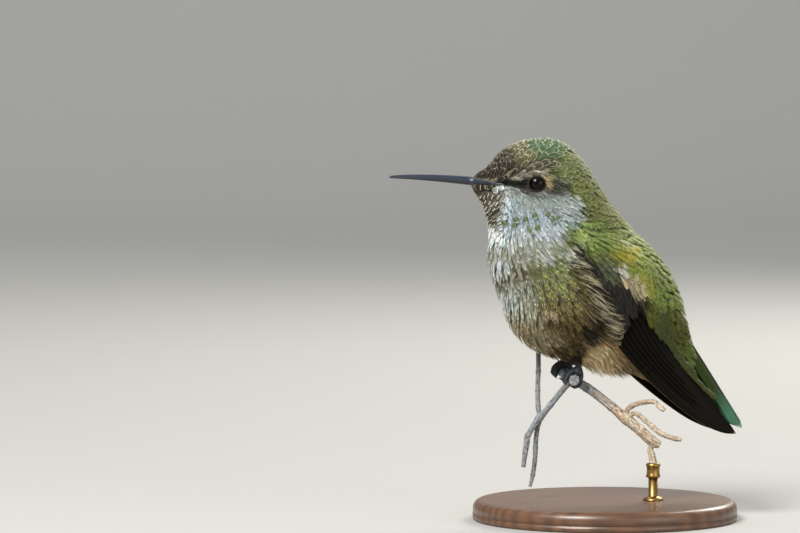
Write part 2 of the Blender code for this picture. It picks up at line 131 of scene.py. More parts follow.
# Each toe: how far it splays outwards, its middle line and its thickness.
TOES = {
    "inner": (-1.0, FRONT_TOE, 0.88),
    "middle": (0.0, FRONT_TOE, 1.0),
    "outer": (1.0, FRONT_TOE, 0.92),
    "hind": (-0.1, HIND_TOE, 1.0),
}
CLAW_FROM = 0.74
CLAW_OVERLAP = 0.02

# ---------------------------------------------------------------- tail, body and wings
TAIL_ROOT = np.array([13.0, 0.0, 43.0])
TAIL_TIP = np.array([28.5, 0.0, 18.6])
TAIL_ROOT_HALF = 2.4
TAIL_END_HALF = 4.0
TAIL_ROOF = 3.0
TAIL_NOTCH = 1.1
TAIL_BLUNT_FROM = 0.86

# The coat's outer surface: rings from the bill to the tail, each with its back point (x, z),
# its front point (x, z), its half width and how far its bulk hangs towards the front.
BODY = np.array([
    (-27.3, 70.5, -28.0, 67.9, 1.3, 0.0),
    (-23.8, 72.4, -26.9, 66.6, 3.3, 0.0),
    (-20.9, 75.5, -25.8, 65.0, 4.9, 0.0),
    (-15.7, 77.5, -24.8, 62.8, 6.6, -0.05),
    (-10.2, 77.2, -24.2, 60.4, 7.5, -0.05),
    (-6.2, 74.7, -24.0, 57.9, 8.1, -0.02),
    (-2.6, 69.9, -24.3, 54.9, 8.7, 0.0),
    (1.2, 64.0, -24.1, 51.6, 9.8, 0.05),
    (6.2, 58.5, -22.9, 48.1, 11.2, 0.1),
    (11.7, 53.1, -21.2, 43.7, 12.4, 0.12),
    (15.2, 46.6, -19.1, 38.6, 12.5, 0.1),
    (16.8, 41.0, -14.6, 34.6, 10.3, 0.05),
    (17.9, 36.6, -7.0, 31.9, 7.3, 0.0),
    (19.1, 33.4, 0.8, 30.3, 5.9, 0.0),
    (20.3, 30.2, 8.2, 28.7, 4.7, 0.0),
    (21.2, 27.6, 13.6, 25.9, 3.5, 0.0),
    (22.0, 24.9, 18.6, 23.0, 2.0, 0.0),
])
BODY_END = len(BODY) - 1.0
# How deep the skin lies under the coat's surface, ring by ring.
COAT_DEPTH = np.array([0.3, 0.45, 0.55, 0.62, 0.68, 0.8, 1.0, 1.25, 1.5, 1.7, 1.75, 1.6, 1.35, 1.1, 0.9,
                       0.7, 0.5])[:, None]

# The wings: rings from the bend to the tip, each with its front point (x, z), its hind point (x, z),
# how far out it lies, how far its hind edge tucks in, how much it bulges and how thick it is.
WING = np.array([
    (-8.4, 57.6, -4.6, 60.0, 10.1, 0.9, 0.3, 1.0),
    (-8.4, 53.2, 2.0, 57.4, 11.3, 2.6, 0.7, 2.2),
    (-6.6, 47.4, 8.2, 52.2, 11.7, 4.0, 1.3, 2.4),
    (-3.4, 41.0, 10.2, 45.6, 11.3, 3.2, 1.3, 2.0),
    (0.6, 35.4, 11.6, 40.0, 10.6, 2.6, 0.7, 1.5),
    (6.0, 29.8, 13.6, 35.0, 8.7, 1.5, 0.5, 1.2),
    (12.2, 24.4, 16.8, 30.4, 7.1, 0.5, 0.4, 1.0),
    (18.3, 20.0, 21.2, 25.0, 5.9, 0.1, 0.3, 0.85),
    (23.1, 17.8, 25.2, 20.6, 5.2, 0.0, 0.2, 0.7),
    (26.7, 17.1, 27.3, 18.0, 4.9, 0.0, 0.1, 0.55),
])
WING_END = len(WING) - 1.0
SIDES = {"left": -1.0, "right": 1.0}


# ================================================================ sums
def spline(knots, time):
    """A smooth curve through the knots at an array of times; its ends carry straight on."""
    knots = np.asarray(knots, float)
    time = np.asarray(time, float)
    last = len(knots) - 1
    run = np.concatenate([[2 * knots[0] - knots[1]], knots, [2 * knots[-1] - knots[-2]]])
    index = np.clip(np.floor(time).astype(int), 0, last - 1)
    u = (time - index)[..., None]
    before, a, b, after = run[index], run[index + 1], run[index + 2], run[index + 3]
    curve = 2 * a + (b - before) * u
    curve = curve + (2 * before - 5 * a + 4 * b - after) * u**2
    return 0.5 * (curve + (3 * a - before - 3 * b + after) * u**3)


def mix(a, b, share):
    return a + (b - a) * share


def smooth_step(low, high, value):
    share = np.clip((value - low) / (high - low), 0.0, 1.0)
    return share * share * (3 - 2 * share)


def unit(vectors):
    return vectors / np.maximum(np.linalg.norm(vectors, axis=-1, keepdims=True), 1e-9)


def paint(red, green, blue):
    """A paint colour of 0 to 255 as the light it gives back, 0 to 1."""
    share = np.array([red, green, blue], float) / 255
    return np.where(share <= 0.04045, share / 12.92, ((share + 0.055) / 1.055) ** 2.4)


# ================================================================ surfaces
def body_surface(time, angle):
    """The coat's outer surface: angle 0 is the back, pi the front, and +Y lies at half pi."""
    ring = spline(BODY, time)
    back, front = ring[..., 0:2], ring[..., 2:4]
    centre = (back + front) / 2
    up = (back - front) / 2
    width = ring[..., 4] * np.sin(angle) * (1 - ring[..., 5] * np.cos(angle))
    place = centre + up * np.cos(angle)[..., None]
    return np.stack([place[..., 0], width, place[..., 1]], -1)


def wing_surface(side, height=1.0):
    """The folded wing's face: height 1 is its outer face, 0 its middle and -1 its inner face."""

    def surface(time, across):
        knot = spline(WING, np.clip(time, -0.4, WING_END))
        front, hind = knot[..., 0:2], knot[..., 2:4]
        out, tuck, bulge, thick = (knot[..., k] for k in (4, 5, 6, 7))
        place = (front + hind) / 2 + (hind - front) / 2 * across[..., None]
        round_off = np.sqrt(np.clip(1 - across**2, 0.04, 1))
        lift = out - tuck * across * 0.5 * (1 + across) + bulge * (1 - across**2)
        lift = lift + height * 0.5 * thick * round_off
        return np.stack([place[..., 0], side * lift, place[..., 1]], -1)

    return surface


def tail_surface(share, across):
    """The closed tail's middle sheet, from its root to its tip and from side to side."""
    run = TAIL_TIP - TAIL_ROOT
    length = np.linalg.norm(run)
    along = run / length
    up = np.cross(along, (0, 1, 0))
    half = mix(TAIL_ROOT_HALF, TAIL_END_HALF, np.sin(np.pi / 2 * np.clip(share, 0, 1)))
    end = np.clip(share - TAIL_BLUNT_FROM, 0, None) / (1 - TAIL_BLUNT_FROM)
    notch = TAIL_NOTCH * np.sin(np.pi * np.minimum(np.abs(across) * 1.25, 1)) - TAIL_NOTCH
    reach = length * share + end * notch
    place = TAIL_ROOT + along * reach[..., None] - up * (TAIL_ROOF * across**2)[..., None]
    place = place + np.array([0, 1, 0]) * (half * across)[..., None]
    return place


def sheet_frame(surface, u, v, turned=1.0):
    """A surface's points, its two slopes and its outward normals."""
    step = 1e-3
    points = surface(u, v)
    slope_u = (surface(u + step, v) - surface(u - step, v)) / (2 * step)
    slope_v = (surface(u, v + step) - surface(u, v - step)) / (2 * step)
    return points, slope_u, slope_v, unit(np.cross(slope_u, slope_v)) * turned


def coat_depth(time):
    return spline(COAT_DEPTH, np.clip(time, 0, BODY_END))[..., 0]


def skin_surface(time, angle):
    """The bare skin, under the coat by the coat's depth."""
    points, _, _, normals = sheet_frame(body_surface, time, angle)
    return points - normals * coat_depth(time)[..., None]


# ================================================================ meshes
def placed_object(name, data):
    """A new object in the scene, from its mesh, light or lens."""
    made = bpy.data.objects.new(name, data)
    bpy.context.scene.collection.objects.link(made)
    return made


def make_piece(name, points, faces, material, attributes=None, maps=None):
    """A mesh object from millimetre points and lists of faces, with its colours and its maps."""
    mesh = bpy.data.meshes.new(name)
    faces = [np.asarray(f, np.int32) for f in faces if len(f)]
    corners = np.concatenate([f.ravel() for f in faces])
    sizes = np.concatenate([np.full(len(f), f.shape[1]) for f in faces])
    starts = np.concatenate([[0], np.cumsum(sizes)[:-1]]).astype(np.int32)
    mesh.vertices.add(len(points))
    mesh.vertices.foreach_set("co", (np.asarray(points) * MM).astype(np.float32).ravel())
    mesh.loops.add(len(corners))
    mesh.loops.foreach_set("vertex_index", corners)
    mesh.polygons.add(len(sizes))
    mesh.polygons.foreach_set("loop_start", starts)
    mesh.polygons.foreach_set("use_smooth", np.ones(len(sizes), bool))
    for key, values in (attributes or {}).items():
        layer = mesh.color_attributes.new(key, "FLOAT_COLOR", "POINT")
        layer.data.foreach_set("color", np.asarray(values, np.float32).ravel())
    for key, values in (maps or {}).items():
        layer = mesh.uv_layers.new(name=key)
        layer.data.foreach_set("uv", np.asarray(values, np.float32)[corners].ravel())
    mesh.update(calc_edges=True)
    mesh.validate(clean_customdata=False)
    if maps:
        first = next(iter(maps))
        mesh.uv_layers[first].active_render = True
    mesh.materials.append(material)
    return placed_object(name, mesh)


def finish_piece(piece, slot, *nodes):
    """The piece rides on the still body and stands for the CAD nodes; slot is not used."""
    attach(piece, "root")
    if nodes:
        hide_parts(*nodes)
    return piece


def grid_faces(rows, columns, start=0, closed=True):
    """Quads of a grid of points, with its last column joined to its first where it is closed."""
    row = np.arange(rows - 1)[:, None] * columns
    column = np.arange(columns if closed else columns - 1)[None, :]
    after = (column + 1) % columns
    faces = np.stack([row + column, row + after, row + columns + after, row + columns + column], -1)
    return faces.reshape(-1, 4) + start


def closed_rings(rings, flip=False):
    """Rings of points as one closed form: its points, its quads and the triangles of its two ends."""
    rings = np.asarray(rings, float)
    count, sides = rings.shape[:2]
    points = np.concatenate([rings.reshape(-1, 3), [rings[0].mean(0)], [rings[-1].mean(0)]])
    near = np.arange(sides)
    after = (near + 1) % sides
    far = (count - 1) * sides
    quads = grid_faces(count, sides)
    ends = np.concatenate([np.stack([after, near, np.full(sides, count * sides)], -1),
                           np.stack([near + far, after + far, np.full(sides, count * sides + 1)], -1)])
    return (points, quads[:, ::-1], ends[:, ::-1]) if flip else (points, quads, ends)


def tube_sides(path):
    """A direction square to a path at each of its points, carried along with no twist."""
    run = unit(np.gradient(path, axis=0))
    side = np.cross(run[0], (0.0, 0.0, 1.0))
    if np.linalg.norm(side) < 0.1:
        side = np.cross(run[0], (0.0, 1.0, 0.0))
    sides = []
    for ahead in run:
        side = side - ahead * side.dot(ahead)
        side = side / np.linalg.norm(side)
        sides.append(side)
    return run, np.array(sides)


def tube(path, radii, sides=12):
    """A closed tube round a path: its points, its quads and the triangles of its two ends."""
    path = np.asarray(path, float)
    run, side = tube_sides(path)
    up = np.cross(side, run)
    angles = np.linspace(0, 2 * np.pi, sides, endpoint=False)[None, :, None]
    rings = side[:, None] * np.cos(angles) + up[:, None] * np.sin(angles)
    return closed_rings(path[:, None] + rings * np.asarray(radii)[:, None, None], True)


def joined(parts):
    """Several closed shapes as one: their points, and their lists of faces."""
    points, faces, start = [], [], 0
    for part in parts:
        points.append(part[0])
        faces += [np.asarray(f) + start for f in part[1:]]
        start += len(part[0])
    return np.concatenate(points), faces


# ================================================================ finishes
def sum_of(operation, turned=False):
    """A method of Value that adds one sum's node; turned starts from the other value."""

    def method(self, *others):
        values = (*others, self) if turned else (self, *others)
        return self.nodes.node("ShaderNodeMath", {"operation": operation}, dict(enumerate(values)))

    return method


class Value:
    """What one node gives to the next."""

    def __init__(self, nodes, made, output=0):
        self.nodes = nodes
        self.made = made
        self.socket = made.outputs[output] if made.outputs else None

    __add__ = __radd__ = sum_of("ADD")
    __mul__ = __rmul__ = sum_of("MULTIPLY")
    __sub__ = sum_of("SUBTRACT")
    __rsub__ = sum_of("SUBTRACT", True)
    __truediv__ = sum_of("DIVIDE")
    __pow__ = sum_of("POWER")
    sine = sum_of("SINE")
    size = sum_of("ABSOLUTE")
    at_least = sum_of("MAXIMUM")

    def out(self, name):
        return Value(self.nodes, self.made, name)

    def step(self, low, high):
        """0 below low and 1 above high, with a soft rise between them."""
        inputs = {"Value": self, "From Min": low, "From Max": high}
        return self.nodes.node("ShaderNodeMapRange", {"interpolation_type": "SMOOTHSTEP"}, inputs)


class Nodes:
    """A tree of nodes that is built one node after another."""

    def __init__(self, tree):
        self.tree = tree

    def set(self, socket, value):
        if isinstance(value, Value):
            self.tree.links.new(value.socket, socket)
        elif socket.type == "RGBA":
            socket.default_value = (*[float(v) for v in value][:3], 1.0)
        else:
            socket.default_value = value

    def node(self, kind, settings=None, inputs=None, output=0):
        """Any node: its settings first, then the values or links of its sockets."""
        made = self.tree.nodes.new(kind)
        for key, value in (settings or {}).items():
            setattr(made, key, value)
        for key, value in (inputs or {}).items():
            self.set(made.inputs[key], value)
        return Value(self, made, output)


class Finish(Nodes):
    """A material, built from named nodes round one principled shader."""

    def __init__(self, name, **constants):
        self.material = bpy.data.materials.new(name)
        self.material.use_nodes = True
        super().__init__(self.material.node_tree)
        self.tree.nodes.clear()
        self.shader = self.tree.nodes.new("ShaderNodeBsdfPrincipled")
        output = self.tree.nodes.new("ShaderNodeOutputMaterial")
        self.tree.links.new(self.shader.outputs["BSDF"], output.inputs["Surface"])
        for key, value in constants.items():
            self.shader.inputs[key.replace("_", " ")].default_value = value

    def blend(self, share, a, b):
        """From colour a at share 0 to colour b at share 1."""
        return self.node("ShaderNodeMix", {"data_type": "RGBA"}, {0: share, 6: a, 7: b}, 2)

    def attribute(self, name):
        return self.node("ShaderNodeAttribute", {"attribute_name": name})

    def place(self):
        return self.node("ShaderNodeTexCoord").out("Object")

    def split(self, vector):
        return self.node("ShaderNodeSeparateXYZ", None, {"Vector": vector})

    def vane(self):
        """Where a place lies on its feather: X runs across it and Y along it."""
        return self.split(self.node("ShaderNodeUVMap", {"uv_map": "vane"}))

    def noise(self, scale, detail=3.0, roughness=0.5, vector=None, stretch=None):
        vector = vector or self.place()
        if stretch:
            vector = self.node("ShaderNodeMapping", None, {"Vector": vector, "Scale": stretch})
        inputs = {"Vector": vector, "Scale": scale, "Detail": detail, "Roughness": roughness}
        return self.node("ShaderNodeTexNoise", None, inputs)

    def bump(self, height, depth, strength):
        return self.node("ShaderNodeBump", None, {"Height": height, "Strength": strength, "Distance": depth})

    def wear(self, colour, roughness, bump=None, **sockets):
        """Feeds the shader's own sockets, and gives the finished material; bump is what bump() takes."""
        sockets = {"Base_Color": colour, "Roughness": roughness, **sockets}
        if bump:
            sockets["Normal"] = self.bump(*bump)
        for key, value in sockets.items():
            self.set(self.shader.inputs[key.replace("_", " ")], value)
        return self.material


# ================================================================ plumage
# One kind of feather: disc and fringe colours, fringe width, metal shine, half width and length
# in millimetres, softness (0 a firm scale, 1 loose barbs) and how far its tip stands off.
KINDS = {
    "forehead": ((23, 18, 10), (164, 154, 126), 0.34, 0.0, 0.52, 2.6, 0.0, 0.26),
    "crown_gold": ((84, 80, 34), (206, 202, 174), 0.41, 0.10, 0.80, 2.9, 0.0, 0.26),
    "crown_teal": ((56, 86, 56), (184, 196, 160), 0.38, 0.14, 0.80, 2.9, 0.0, 0.24),
    "hind_crown": ((82, 92, 42), (184, 188, 142), 0.38, 0.12, 0.66, 2.5, 0.1, 0.14),
    "crown_brown": ((52, 47, 32), (180, 172, 146), 0.40, 0.04, 0.74, 2.7, 0.0, 0.20),
    "brow": ((150, 144, 126), (214, 208, 192), 0.60, 0.0, 0.26, 2.2, 0.6, 0.0),
    "lore": ((8, 6, 3), (34, 29, 20), 0.30, 0.0, 0.30, 1.3, 0.6, 0.0),
    "ear": ((70, 70, 58), (152, 152, 138), 0.42, 0.0, 0.34, 2.2, 0.9, 0.0),
    "eye_spot": ((196, 178, 132), (228, 214, 178), 0.40, 0.0, 0.30, 1.2, 0.7, 0.0),
    "cheek": ((170, 180, 176), (228, 236, 232), 0.50, 0.0, 0.46, 2.7, 1.0, 0.02),
    "chin": ((30, 23, 12), (208, 192, 154), 0.36, 0.0, 0.86, 2.2, 0.0, 0.12),
    "throat": ((78, 72, 56), (236, 232, 218), 0.42, 0.0, 0.86, 2.3, 0.0, 0.12),
    "white_throat": ((186, 202, 208), (234, 244, 248), 0.50, 0.0, 0.54, 2.9, 1.0, 0.03),
    "nape": ((92, 98, 46), (182, 186, 124), 0.30, 0.12, 0.60, 2.5, 0.3, 0.12),
    "mantle": ((124, 136, 68), (206, 212, 158), 0.28, 0.12, 0.80, 3.1, 0.2, 0.12),
    "back": ((104, 120, 38), (170, 180, 104), 0.26, 0.14, 0.92, 3.2, 0.1, 0.10),
    "back_gold": ((140, 136, 34), (196, 192, 110), 0.28, 0.14, 0.90, 3.3, 0.3, 0.08),
    "bright": ((106, 126, 58), (172, 186, 126), 0.26, 0.12, 0.60, 3.4, 0.8, 0.05),
    "rump": ((78, 80, 12), (124, 124, 46), 0.26, 0.14, 0.90, 3.0, 0.3, 0.08),
    "uppertail": ((78, 98, 28), (151, 162, 91), 0.24, 0.16, 0.95, 3.4, 0.0, 0.06),
    "white_breast": ((212, 222, 224), (244, 248, 250), 0.50, 0.0, 0.66, 3.8, 1.0, 0.12),
    "grey_breast": ((168, 170, 148), (226, 230, 218), 0.46, 0.0, 0.76, 3.8, 1.0, 0.12),
    "dusky": ((84, 75, 50), (186, 184, 162), 0.42, 0.0, 0.85, 3.6, 0.9, 0.08),
    "flank_green": ((120, 126, 70), (206, 206, 170), 0.42, 0.08, 0.86, 3.4, 0.6, 0.10),
    "flank_gold": ((106, 98, 48), (194, 186, 144), 0.40, 0.06, 0.86, 3.5, 0.6, 0.10),
    "flank_dark": ((34, 27, 14), (170, 160, 132), 0.34, 0.0, 0.26, 4.4, 1.0, 0.22),
    "belly": ((158, 144, 110), (210, 198, 164), 0.40, 0.0, 0.80, 3.8, 1.0, 0.14),
    "belly_brown": ((92, 76, 38), (156, 136, 88), 0.36, 0.0, 0.80, 3.8, 1.0, 0.14),
    # A near-black kind that is painted shade: in the gap in front of the wing's bend and on the belly under
    # the wing.
    "dark_patch": ((8, 5, 2), (22, 15, 7), 0.30, 0.0, 0.80, 3.4, 1.0, 0.05),
    "vent": ((255, 216, 160), (255, 240, 206), 0.40, 0.0, 0.40, 3.0, 1.0, 1.0),
    "undertail": ((156, 138, 98), (202, 186, 148), 0.40, 0.0, 0.90, 3.6, 0.9, 0.10),
    "covert_grey": ((66, 72, 48), (136, 140, 116), 0.22, 0.04, 0.60, 3.6, 0.2, 0.08),
    "covert_dark": ((20, 17, 9), (44, 38, 25), 0.20, 0.0, 0.60, 3.6, 0.2, 0.06),
    "covert_white": ((168, 168, 150), (214, 214, 200), 0.40, 0.0, 0.34, 3.2, 0.9, 0.10),
    "covert_buff": ((176, 162, 128), (218, 206, 176), 0.36, 0.0, 0.40, 3.4, 0.9, 0.10),
    "wing_edge": ((54, 62, 14), (104, 108, 48), 0.22, 0.16, 0.60, 2.6, 0.2, 0.05),
}
# How much of its length a feather shows beyond the next row, where that isn't the usual share.
LAPS = {"forehead": 0.44, "crown_gold": 0.4, "crown_teal": 0.4, "chin": 0.24, "throat": 0.25,
        "flank_green": 0.42, "flank_gold": 0.4, "mantle": 0.44, "back": 0.44, "uppertail": 0.46}
# The columns of the values that plumage gives, in the order of a kind's row.
DISC, FRINGE = slice(0, 3), slice(3, 6)
RIM, SHINE, HALF_WIDTH, LENGTH, SOFT, STAND, LAP = range(6, 13)
# Where each kind shows in side view: (x, z, reach along x, reach along z).
ZONES = {
    "forehead": [(-26.4, 70.6, 1.8, 1.2), (-23, 73, 2.2, 1.8), (-20.8, 74, 1.9, 1.9),
        (-20.6, 71.6, 1.8, 1.2)],
    "crown_gold": [(-17.9, 75, 1.9, 1.8), (-17.2, 74.2, 1.5, 1.1)],
    "crown_teal": [(-14.6, 76.6, 2, 1.4), (-11.6, 75.6, 2, 1.5)],
    "hind_crown": [(-9.4, 73.6, 2.2, 1.9), (-6.8, 71, 1.8, 1.8), (-8.4, 69.4, 1, 1.2), (-11, 71, 0.9, 0.8)],
    "crown_brown": [(-15.4, 72.5, 1.8, 0.9), (-12.6, 72.8, 1.5, 0.9), (-16.4, 73.8, 1.6, 1),
        (-20.2, 75.2, 1, 1), (-18, 72.4, 1.2, 0.9)],
    "brow": [(-19.2, 70.2, 0.9, 0.36), (-17.6, 70.95, 0.8, 0.32), (-15.8, 71.2, 0.8, 0.28),
        (-14, 70.95, 0.7, 0.26)],
    "lore": [(-18.4, 68.4, 0.7, 0.6), (-21.6, 68.9, 1.3, 0.42), (-19.9, 68.7, 1.1, 0.52),
        (-26.9, 70.3, 0.8, 0.5)],
    "ear": [(-11.6, 67, 1.5, 1), (-18.4, 66.9, 0.8, 0.4), (-17, 66.8, 0.9, 0.4), (-11.4, 69, 0.9, 0.5),
        (-9.6, 68.4, 0.9, 0.9), (-15.6, 66.7, 2.3, 0.9)],
    "eye_spot": [(-13.4, 69.5, 0.6, 0.6), (-13, 68.5, 0.6, 0.5)],
    "cheek": [(-21.9, 66.7, 0.9, 0.8), (-20.2, 66.4, 1.5, 1.1), (-17.6, 64.6, 2.2, 1.5),
        (-13.8, 64.2, 2.2, 1.4), (-8.4, 62.6, 1.9, 1.5), (-9.6, 64.3, 2.5, 1.7), (-7.4, 62.5, 1.3, 1.2)],
    "chin": [(-24.3, 63, 1, 1.2), (-26.9, 67.6, 1.2, 0.9), (-23.7, 60.9, 0.8, 1.2)],
    "throat": [(-25.2, 64.6, 1.3, 1.6), (-25.5, 65.8, 1, 1), (-23.3, 60.6, 1, 1.3), (-23.4, 66.2, 1.1, 0.8),
        (-22.7, 63.8, 0.9, 1.8)],
    "white_throat": [(-20.8, 63.8, 1.6, 1.4), (-16.4, 61.4, 3, 1.3), (-20.8, 60.8, 2, 1.4),
        (-12, 61.2, 2.4, 1.2), (-7.8, 60.2, 0.9, 0.8)],
    "nape": [(-4.6, 67.4, 1.9, 2.2), (-2, 64, 2.2, 2.4), (-5, 62.8, 1.3, 1.6), (-6.9, 66.6, 1.3, 1.4),
        (-3, 55.2, 1.7, 1.5), (-8.9, 56.9, 0.7, 0.9), (0.8, 60.4, 2.2, 1.9)],
    "mantle": [(4.6, 56.4, 2.6, 2.6), (1.6, 56.8, 2.2, 2), (-7.6, 59, 1.5, 1.3), (6.6, 53.2, 1.8, 1.6),
        (-9.9, 56.8, 0.9, 1.1)],
    "back": [(8.4, 52.6, 3, 3), (11.6, 48, 3, 3.4), (12.4, 43.4, 2.6, 2.4)],
    "back_gold": [(5.6, 50.6, 2.4, 2), (2.4, 52.9, 1.8, 1.4), (7.6, 47.6, 1.8, 2)],
    "bright": [(-4.8, 57.6, 1.9, 1.9), (-3.4, 59.4, 1.8, 1.4)],
    "rump": [(14.2, 39.6, 2.8, 2.6), (12, 41, 2, 2), (15.6, 36.6, 2.4, 2)],
    "uppertail": [(17.6, 33, 2.4, 2.6), (19.8, 29, 2.4, 2.8), (21.6, 25.6, 2, 2.2)],
    "white_breast": [(-23.4, 56.8, 1.8, 2.2), (-20, 57, 2.6, 1.8), (-12.4, 58.6, 2.2, 1.3),
        (-16.2, 57.8, 2.6, 1.2), (-20.8, 44.4, 1.5, 1.5), (-22.7, 51.5, 1.1, 1), (-10.8, 57.8, 0.8, 0.9),
        (-13.8, 53.3, 1.2, 0.8), (-22.4, 50.9, 1.2, 1), (-8.6, 63.6, 1.4, 1.3)],
    "grey_breast": [(-23.4, 53.4, 1.8, 2), (-19.6, 53.6, 2.2, 1.6), (-16.9, 53, 1.5, 1.2),
        (-21, 45.6, 2, 2.6), (-17.8, 46.8, 1.9, 2), (-16.2, 55.2, 1.5, 1), (-17.4, 41.4, 1.8, 1.3),
        (-14.4, 54.4, 1.5, 0.9)],
    "dusky": [(-19.2, 50.6, 2, 1.3), (-21.4, 49.6, 1.3, 0.8), (-21.8, 47.4, 1.4, 0.7),
        (-24.6, 52.4, 0.7, 1.5)],
    "flank_green": [(-15.4, 51.2, 1.5, 1.8), (-15.6, 48.2, 1.5, 1.4), (-11.2, 50.2, 2, 1.6),
        (-11, 47.8, 2, 1.5), (-14, 46.2, 1.5, 1.2), (-12.2, 52.4, 1.7, 1.2)],
    "flank_gold": [(-13.6, 45.6, 2.2, 1.6), (-8.8, 44.4, 2, 1.6), (-7.6, 49.4, 1.2, 2.4)],
    "flank_dark": [(-5.4, 52.2, 1, 1.2), (-3.3, 49.8, 1.4, 1.6), (-1.4, 47.3, 1.6, 1.8),
        (0.5, 44.6, 1.6, 1.8), (1.5, 41.6, 1.5, 1.8), (1.3, 38.6, 1.3, 1.3), (-3.6, 42, 1.2, 1.3)],
    "belly": [(-17.6, 38.6, 2.2, 1.6), (-13, 36.6, 2, 1.5), (-14.6, 42, 2, 1.2), (-18.2, 40, 1.6, 1.2)],
    "belly_brown": [(-13, 40, 2.4, 1.2), (-9, 41, 2.6, 1.4), (-8.8, 38, 2.4, 1.8), (-5.6, 42, 1.6, 1.2),
        (-9, 35, 2, 1.2), (-1.6, 38.6, 1.6, 1.2), (-0.6, 36.9, 2, 1.1)],
    # Painted shade: on the belly under the wing, and in the gap in front of the wing's bend.
    "dark_patch": [(-3.1, 40, 1, 1.1), (-5.8, 36.4, 1.1, 1.4), (-7, 34, 1.3, 1.2), (-6.9, 53.9, 0.55, 0.75),
        (-4.4, 38.4, 1.6, 1.4)],
    "vent": [(-2.4, 33.2, 2.4, 1.6), (-1.8, 34.2, 2.4, 1.2), (1.4, 33.4, 2.3, 1.8)],
    "undertail": [(6, 31.4, 2.8, 2.4), (11, 29, 3.2, 2.4), (16, 26, 3, 2.4)],
    "covert_white": [(-9.3, 53.9, 1.1, 1.3), (-8.3, 51.9, 0.7, 0.9)],
}
WING_ZONES = {
    "nape": [(-3.4, 54.2, 1.5, 1.3)],
    "mantle": [(1, 57.4, 2.2, 1.8), (-6.6, 58.9, 1.4, 1.4)],
    "back": [(6, 51.6, 2.2, 2), (9.6, 46.2, 1.9, 2.2)],
    "back_gold": [(3.4, 54.2, 2, 1.6), (6.4, 48.8, 1.4, 1.8)],
    "bright": [(-4.9, 56.2, 1.5, 1.4), (-3, 57, 2.4, 1.8), (-4.4, 58.6, 1.5, 1.5)],
    "rump": [(7.4, 42.4, 1.3, 1.8)],
    # Painted shade in the gap between the shoulder's green feathers and the flank's white fringes.
    "dark_patch": [(-7.6, 55.2, 0.9, 1), (-6.8, 53.2, 0.9, 0.9)],
    "covert_grey": [(-3.2, 51.8, 1.6, 1), (-1.8, 50.2, 1.6, 1)],
    "covert_dark": [(-5.6, 50, 1.6, 2.2), (-2.8, 47.4, 2, 2), (0.4, 45, 1.8, 2), (-1, 42.4, 2, 2.6),
        (4.6, 42.6, 1.6, 2)],
    "covert_white": [(-0.4, 51.5, 0.7, 0.4), (1.2, 50.6, 0.6, 0.4)],
    "covert_buff": [(4.4, 46.6, 1.2, 1.1), (2, 48.8, 1, 1), (3.6, 47.4, 1.2, 1)],
    "wing_edge": [(10.6, 40.4, 2.2, 2.4), (12.6, 37, 2, 2.2), (14.8, 33.8, 2.2, 2.4), (17.4, 30.4, 2.2, 2.4),
        (20, 27.2, 2.2, 2.2)],
}
# The green spots of the throat, each side: (x, z).
SPOTS = [(-19.9, 61.7), (-18.0, 61.7), (-15.9, 61.9), (-13.9, 62.3), (-11.4, 62.2),
         (-21.7, 60.2), (-20.1, 60.1), (-17.5, 59.5), (-15.8, 59.8), (-12.9, 60.8)]
SPOT_HALF_WIDTH = 0.56
SPOT_PAINT = (92, 104, 66)
# Where the feathers lie turned up (or down) from the body's own run: (x, z, reach, turn in radians).
COMBED = [(-24.6, 71.4, 2.2, 0.95), (-22.0, 72.2, 2.6, 1.1), (-19.2, 73.0, 2.4, 1.0), (-20.6, 70.4, 1.6, 0.8),
          (-16.4, 74.0, 2.2, 0.7), (-18.0, 70.8, 1.2, 0.6), (-13.6, 71.6, 1.8, 0.7), (-11.6, 68.0, 2.4, 0.6),
          (-14.0, 64.6, 2.6, 0.4), (-9.6, 63.6, 2.6, 0.5), (-12.6, 74.6, 2.2, 0.4), (-2.4, 34.0, 3.0, -0.6),
          (1.6, 34.6, 3.0, -0.7)]
KIND_NAMES = list(KINDS)
KIND_TABLE = np.array([[*paint(*k[0]), *paint(*k[1]), *k[2:], LAPS.get(name, 0.42 - 0.12 * k[6])]
                       for name, k in KINDS.items()])


def plumage(points, zones):
    """What grows at each point: the kinds' values, mixed softly where zones meet."""
    x, z = points[..., 0], points[..., 2]
    share = np.zeros(x.shape + (len(KIND_NAMES),))
    for kind, places in zones.items():
        for centre_x, centre_z, reach_x, reach_z in places:
            far = ((x - centre_x) / reach_x) ** 2 + ((z - centre_z) / reach_z) ** 2
            share[..., KIND_NAMES.index(kind)] += np.exp(-1.1 * far) + 1e-7 / (1 + far)
    share = share**1.25
    share /= share.sum(-1, keepdims=True)
    return share @ KIND_TABLE, share


def outline_distance(points, edge):
    """How far each point lies from a row of (x, z) places, in side view."""
    place = points[:, None, [0, 2]]
    start, end = edge[None, :-1], edge[None, 1:]
    run = end - start
    share = np.clip(((place - start) * run).sum(-1) / (run**2).sum(-1), 0, 1)
    return np.linalg.norm(place - start - run * share[..., None], axis=-1).min(1)


def inside_outline(points, loop):
    """Whether each point lies inside a closed row of (x, z) places, in side view."""
    x, z = points[:, None, 0], points[:, None, 2]
    a, b = loop[None], np.roll(loop, -1, axis=0)[None]
    crosses = (a[..., 1] > z) != (b[..., 1] > z)
    rise = np.where(np.abs(b[..., 1] - a[..., 1]) < 1e-9, 1e-9, b[..., 1] - a[..., 1])
    at = a[..., 0] + (z - a[..., 1]) / rise * (b[..., 0] - a[..., 0])
    return (crosses & (x < at)).sum(1) % 2 == 1


WING_TIMES = np.linspace(0, WING_END, 60)
WING_FRONT_EDGE = spline(WING, WING_TIMES)[:, 0:2]
WING_HIND_EDGE = spline(WING, WING_TIMES)[:, 2:4]
WING_LOOP = np.concatenate([WING_FRONT_EDGE, WING_HIND_EDGE[::-1]])
